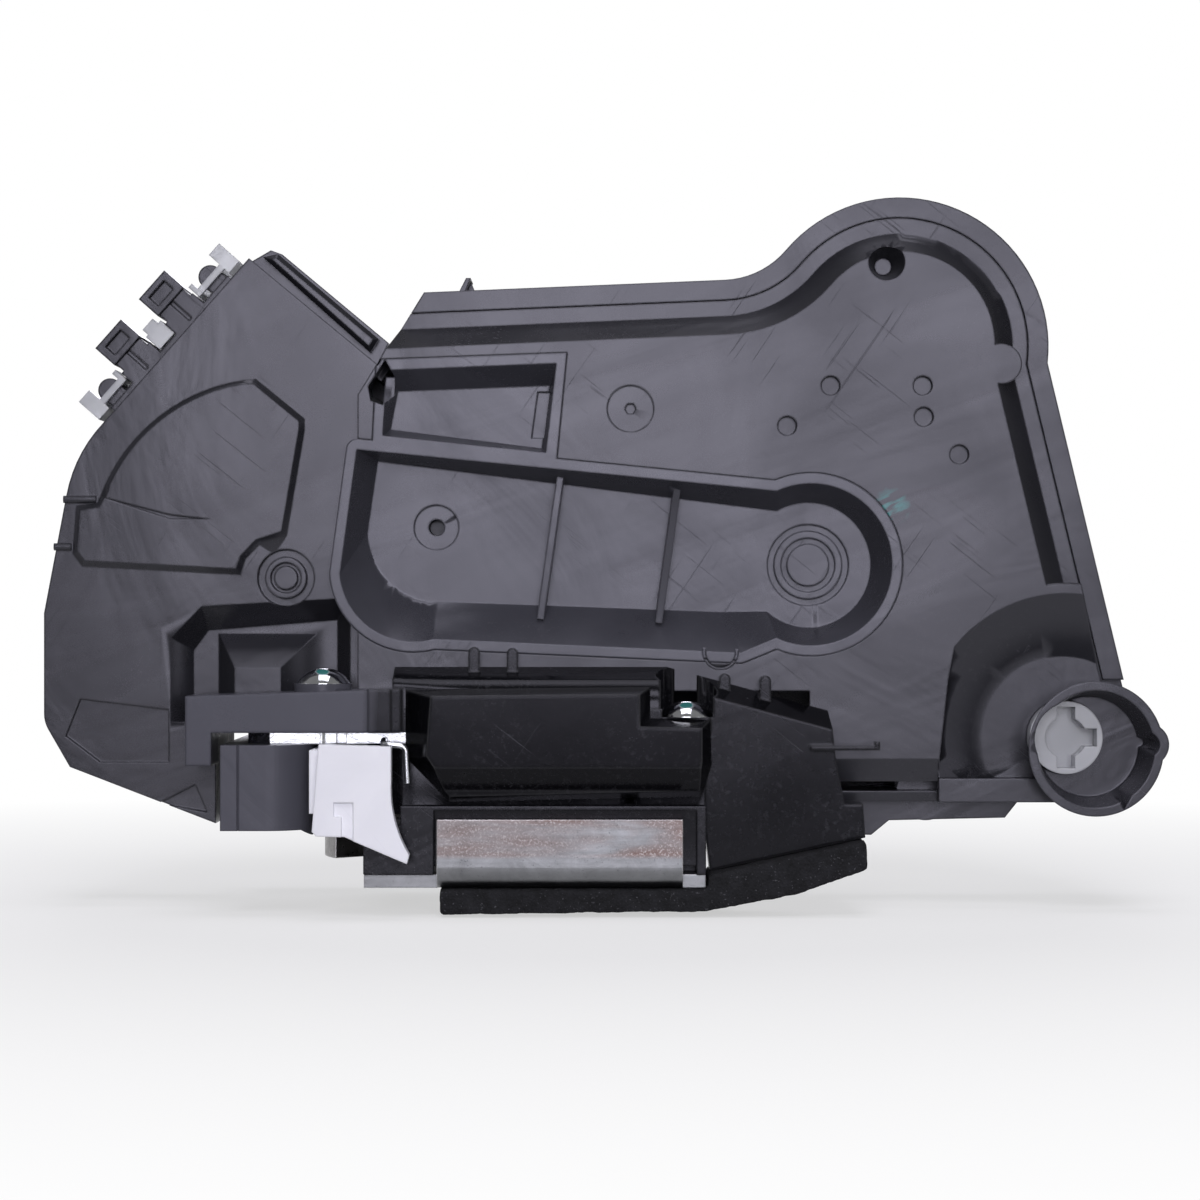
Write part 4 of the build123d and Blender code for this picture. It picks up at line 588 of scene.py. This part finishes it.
def foam_rubber(name):
    """Open-cell black foam with small cells and a dusty skin."""
    r = Recipe(name)
    pores = r.node("ShaderNodeTexVoronoi", {"Vector": r.place, "Scale": FOAM_PORES})
    clumps = r.noise(FOAM_CLUMPS)
    specks = r.spread(r.noise(FOAM_SPECKS), 0.66, 0.74)
    shade = r.blend(r.spread(clumps, *CLOUDED), FOAM_DARK, FOAM_LIGHT)
    shade = r.tint(shade, specks, FOAM_SPECK_GREY, 0.8)
    normal = r.bump(pores.outputs["Distance"], FOAM_PORE_DEPTH)
    normal = r.bump(clumps, FOAM_CLUMP_DEPTH, normal)
    return r.finish(shade, r.spread(clumps, *MOST, 0.82, 0.95), normal, IOR=1.3)


def soft_rubber(name):
    """Moulded black rubber with a greyish bloom."""
    r = Recipe(name)
    soft, _ = r.rounded(RUBBER_ROUND)
    bloom = r.noise(RUBBER_BLOOM)
    shade = r.blend(r.spread(bloom, 0.4, 0.7), RUBBER_DARK, RUBBER_LIGHT)
    normal = r.bump(r.noise(RUBBER_GRAIN), RUBBER_GRAIN_DEPTH, soft)
    return r.finish(shade, r.spread(bloom, *MOST, 0.55, 0.7), normal)


# ---------------------------------------------------------------- operators
class LATCH_OT_covers(Operator):
    """Finish the satin front cover and rear housing"""
    bl_idname = "latch.covers"
    bl_label = "Covers"

    def execute(self, context):
        look = plastics()
        satin = moulded("satin_black_plastic", look.black, look.satin, look, dust=0.12,
                        smudge=(SMUDGE_PLACE, SMUDGE_REACH, metals().dab))
        dull = moulded("dull_black_plastic", look.grey, look.satin, look, dust=0.2)
        refined("front_cover", satin)
        refined("rear_housing", satin)
        refined("cover_insert", dull)
        refined("housing_rim", satin)
        refined("cable_bush", soft_rubber("bush_rubber"))
        return {"FINISHED"}


class LATCH_OT_latch_mouldings(Operator):
    """Finish the glossier mouldings round the claw and the mouth"""
    bl_idname = "latch.latch_mouldings"
    bl_label = "Latch mouldings"

    def execute(self, context):
        look = plastics()
        # The glossy and frame plastics get a painted highlight on their edges, on top of wear.
        glossy = moulded("glossy_black_plastic", look.deep_black, look.polish, look,
                         dust=0.22, gloss=0.12, waviness=0.05 * MM, roundness=2.2, swirl=0.2,
                         edge_highlight=0.5)
        block = moulded("block_black_plastic", look.deep_black, look.satin - 0.05, look,
                        dust=0.3, gloss=0.25, lighter_until=BLOCK_LIGHTER_UNTIL)
        frame_plastic = moulded("frame_black_plastic", look.deep_black, look.polish, look,
                                dust=0.3, gloss=0.2, waviness=0.09 * MM, roundness=1.6,
                                swirl=0.4, lighter_until=FRAME_LIGHTER_UNTIL, edge_highlight=0.3)
        refined("mechanism_cover", glossy)
        refined("latch_frame", frame_plastic)
        refined("latch_housing", block)
        refined("mouth_bumper", soft_rubber("bumper_rubber"))
        return {"FINISHED"}


class LATCH_OT_connectors(Operator):
    """Finish the connector row, its white comb and the terminals"""
    bl_idname = "latch.connectors"
    bl_label = "Connectors"

    def execute(self, context):
        look = plastics()
        refined("connector_housing", moulded("connector_black_plastic", look.deep_black,
                                             look.satin, look, dust=0.2))
        refined("connector_lock", clear_white("natural_plastic", look.natural, look, 0.35, 0.22))
        coat("terminals", bright_metal("tinned_brass", metals().tinned, 0.25))
        return {"FINISHED"}


class LATCH_OT_key_parts(Operator):
    """Finish the white key coupling and the lever behind it"""
    bl_idname = "latch.key_parts"
    bl_label = "Key coupling"

    def execute(self, context):
        look = plastics()
        refined("key_coupling", clear_white("coupling_plastic", look.natural, look, 0.25, 0.2))
        refined("key_guide", moulded("guide_black_plastic", scaled(look.grey, 0.5),
                                     look.satin - 0.03, look, dust=0.1))
        refined("key_lever", moulded("lever_black_plastic", look.black, 0.4, look))
        return {"FINISHED"}


class LATCH_OT_plates(Operator):
    """Finish the plated steel plates and the wire beside the mouth"""
    bl_idname = "latch.plates"
    bl_label = "Steel plates"

    def execute(self, context):
        zinc = metals().zinc
        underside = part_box("face_plate")[0].z
        refined("face_plate", zinc_plate("rolled_zinc", scaled(zinc, 0.36), 0.36,
                                         waviness=0.06 * MM,
                                         tarnished_above=underside + FLANGE_BEND))
        refined("back_plate", zinc_plate("bright_zinc", scaled(zinc, 1.2), 0.22))
        refined("retaining_wire", bright_metal("bright_wire", zinc, 0.22))
        return {"FINISHED"}


class LATCH_OT_screws(Operator):
    """Finish the two bright domed screws"""
    bl_idname = "latch.screws"
    bl_label = "Screws"

    def execute(self, context):
        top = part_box("frame_screws")[1].z
        dab_places = ((*LEFT_SCREW, top), (*RIGHT_SCREW, top - RIGHT_SCREW_LOWER))
        refined("frame_screws", bright_metal("bright_chromium", metals().chromium, 0.05,
                                             metals().dab, dab_places))
        return {"FINISHED"}


class LATCH_OT_plug(Operator):
    """Finish the white shipping plug"""
    bl_idname = "latch.plug"
    bl_label = "Shipping plug"

    def execute(self, context):
        look = plastics()
        refined("shipping_plug", clear_white("white_plastic", look.white, look, 0.0, 0.34,
                                             subsurface=0.15))
        return {"FINISHED"}


class LATCH_OT_foam(Operator):
    """Finish the foam seal under the face plate"""
    bl_idname = "latch.foam"
    bl_label = "Foam seal"

    def execute(self, context):
        foamed("foam_seal", foam_rubber("black_foam"))
        return {"FINISHED"}


class LATCH_OT_mechanism(Operator):
    """Finish the parts inside: claw, pawl, levers, gear, motor and pins"""
    bl_idname = "latch.mechanism"
    bl_label = "Mechanism"

    def execute(self, context):
        look, metal = plastics(), metals()
        finishes = (
            (zinc_plate("hardened_steel", metal.steel, 0.32),
             ("claw", "pawl", "release_lever", "inside_lever")),
            (bright_metal("ground_steel", metal.ground, 0.18),
             ("worm", "gear_pin", "claw_pin", "pawl_pin", "lock_lever_pin",
              "release_lever_pin", "inside_lever_pin", "claw_spring", "pawl_spring",
              "lock_motor", "carrier_screws")),
            (zinc_plate("dark_plated_steel", metal.dark, 0.45), ("cover_screws",)),
            (clear_white("acetal", look.acetal, look, 0.0, 0.35),
             ("lock_gear", "lock_lever", "motor_cap")),
            (moulded("carrier_plastic", look.carrier, 0.45, look),
             ("circuit_carrier", "position_sensors")),
        )
        for finish, nodes in finishes:
            for node in nodes:
                refined(node, finish)
        return {"FINISHED"}


class LATCH_OT_stage(Operator):
    """Set the floor, the lights and the camera"""
    bl_idname = "latch.stage"
    bl_label = "Studio"

    @staticmethod
    def seen(nodes, ambient, mirrored):
        """1 for what the camera sees straight or through a clear part, `mirrored` in mirrors."""
        path = nodes.node("ShaderNodeLightPath")
        strength = nodes.reckon("MULTIPLY_ADD", path.outputs["Is Glossy Ray"], mirrored, ambient)
        for ray in ("Is Camera Ray", "Is Transmission Ray"):
            strength = nodes.reckon("MAXIMUM", path.outputs[ray], strength)
        return strength

    def paper(self, look):
        """White paper that keeps a soft shadow near the latch and glows evenly further out."""
        r = Recipe("floor_paper")
        fibre = r.spread(r.noise(PAPER_FIBRES), *MOST)
        r.finish(r.blend(fibre, scaled(look.paper, 0.985), look.paper), 0.85)
        far = r.node("ShaderNodeVectorMath", {0: r.place, 1: (VIEW_CENTRE.x, FLOOR_CENTRE_Y, 0.0)},
                     operation="DISTANCE").outputs["Value"]
        mirrored = r.spread(far, *MIRROR_REACH, 0.9, look.mirrored)
        glow = r.node("ShaderNodeEmission", {
            "Color": WHITE, "Strength": self.seen(r, look.ambient, mirrored)})
        mixed = r.node("ShaderNodeMixShader", {0: r.spread(far, *SHADOW_REACH, 0.55, 1.0),
                                               1: r.shader.outputs[0], 2: glow.outputs[0]})
        r.feed(r.output.inputs["Surface"], mixed.outputs[0])
        return r.material

    def floor(self, look):
        bpy.ops.mesh.primitive_plane_add(
            size=FLOOR_SIZE, location=(VIEW_CENTRE.x, 0.0, CAD_BOX[0][2] - FLOOR_GAP))
        floor = added("studio_floor")
        floor.data.materials.append(self.paper(look))

    def lights(self, scene, look):
        for name, size, place, power, part in CARDS:
            light = bpy.data.lights.new(name, "AREA")
            light.shape = "RECTANGLE"
            light.size, light.size_y = size
            light.energy = getattr(look, power) * part
            light.color = look.lamp
            lamp = bpy.data.objects.new(name, light)
            lamp.location = place
            aim = VIEW_CENTRE - Vector(place)
            lamp.rotation_euler = aim.to_track_quat("-Z", "Y").to_euler()
            scene.collection.objects.link(lamp)

    def room(self, scene, look):
        """The white all round, which lights the latch faintly."""
        scene.world = bpy.data.worlds.new("studio")
        scene.world.use_nodes = True
        nodes = Nodes(scene.world.node_tree)
        sky = nodes.node("ShaderNodeBackground", {
            "Color": WHITE, "Strength": self.seen(nodes, look.ambient, look.mirrored)})
        nodes.node("ShaderNodeOutputWorld", {"Surface": sky.outputs[0]})

    def camera(self, scene, look):
        lens = bpy.data.cameras.new("camera")
        lens.angle = 2 * atan(look.view_width / 2 / look.camera_distance)
        lens.clip_start = 0.01
        camera = bpy.data.objects.new("camera", lens)
        camera.location = (VIEW_CENTRE.x, VIEW_PLANE - look.camera_distance, VIEW_CENTRE.z)
        camera.rotation_euler = (pi / 2, 0.0, 0.0)
        scene.collection.objects.link(camera)
        scene.camera = camera

    def execute(self, context):
        scene = context.scene
        look = scene.latch_studio
        self.floor(look)
        self.lights(scene, look)
        self.room(scene, look)
        self.camera(scene, look)
        scene.view_settings.view_transform = "Standard"
        return {"FINISHED"}


class LATCH_PT_panel(Panel):
    """Settings and steps of the latch"""
    bl_idname = "LATCH_PT_panel"
    bl_label = "Door Latch"
    bl_space_type = "VIEW_3D"
    bl_region_type = "UI"
    bl_category = "Latch"

    def draw(self, context):
        for group in SETTINGS:
            settings = getattr(context.scene, group)
            for name in settings.bl_rna.properties.keys():
                if name not in {"rna_type", "name"}:
                    self.layout.prop(settings, name)
        for step in STEPS:
            self.layout.operator(step.bl_idname)


SETTINGS = {"latch_plastics": LATCH_PG_plastics, "latch_metals": LATCH_PG_metals,
            "latch_studio": LATCH_PG_studio}
STEPS = (LATCH_OT_covers, LATCH_OT_latch_mouldings, LATCH_OT_connectors, LATCH_OT_key_parts,
         LATCH_OT_plates, LATCH_OT_screws, LATCH_OT_plug, LATCH_OT_foam, LATCH_OT_mechanism,
         LATCH_OT_stage)


def register():
    for item in (*SETTINGS.values(), *STEPS, LATCH_PT_panel):
        bpy.utils.register_class(item)
    for name, group in SETTINGS.items():
        setattr(bpy.types.Scene, name, PointerProperty(type=group))


def unregister():
    for name in SETTINGS:
        delattr(bpy.types.Scene, name)
    for item in reversed((*SETTINGS.values(), *STEPS, LATCH_PT_panel)):
        bpy.utils.unregister_class(item)


def main():
    register()
    for step in STEPS:
        group, name = step.bl_idname.split(".")
        getattr(getattr(bpy.ops, group), name)()


if __name__ == "__main__":
    main()
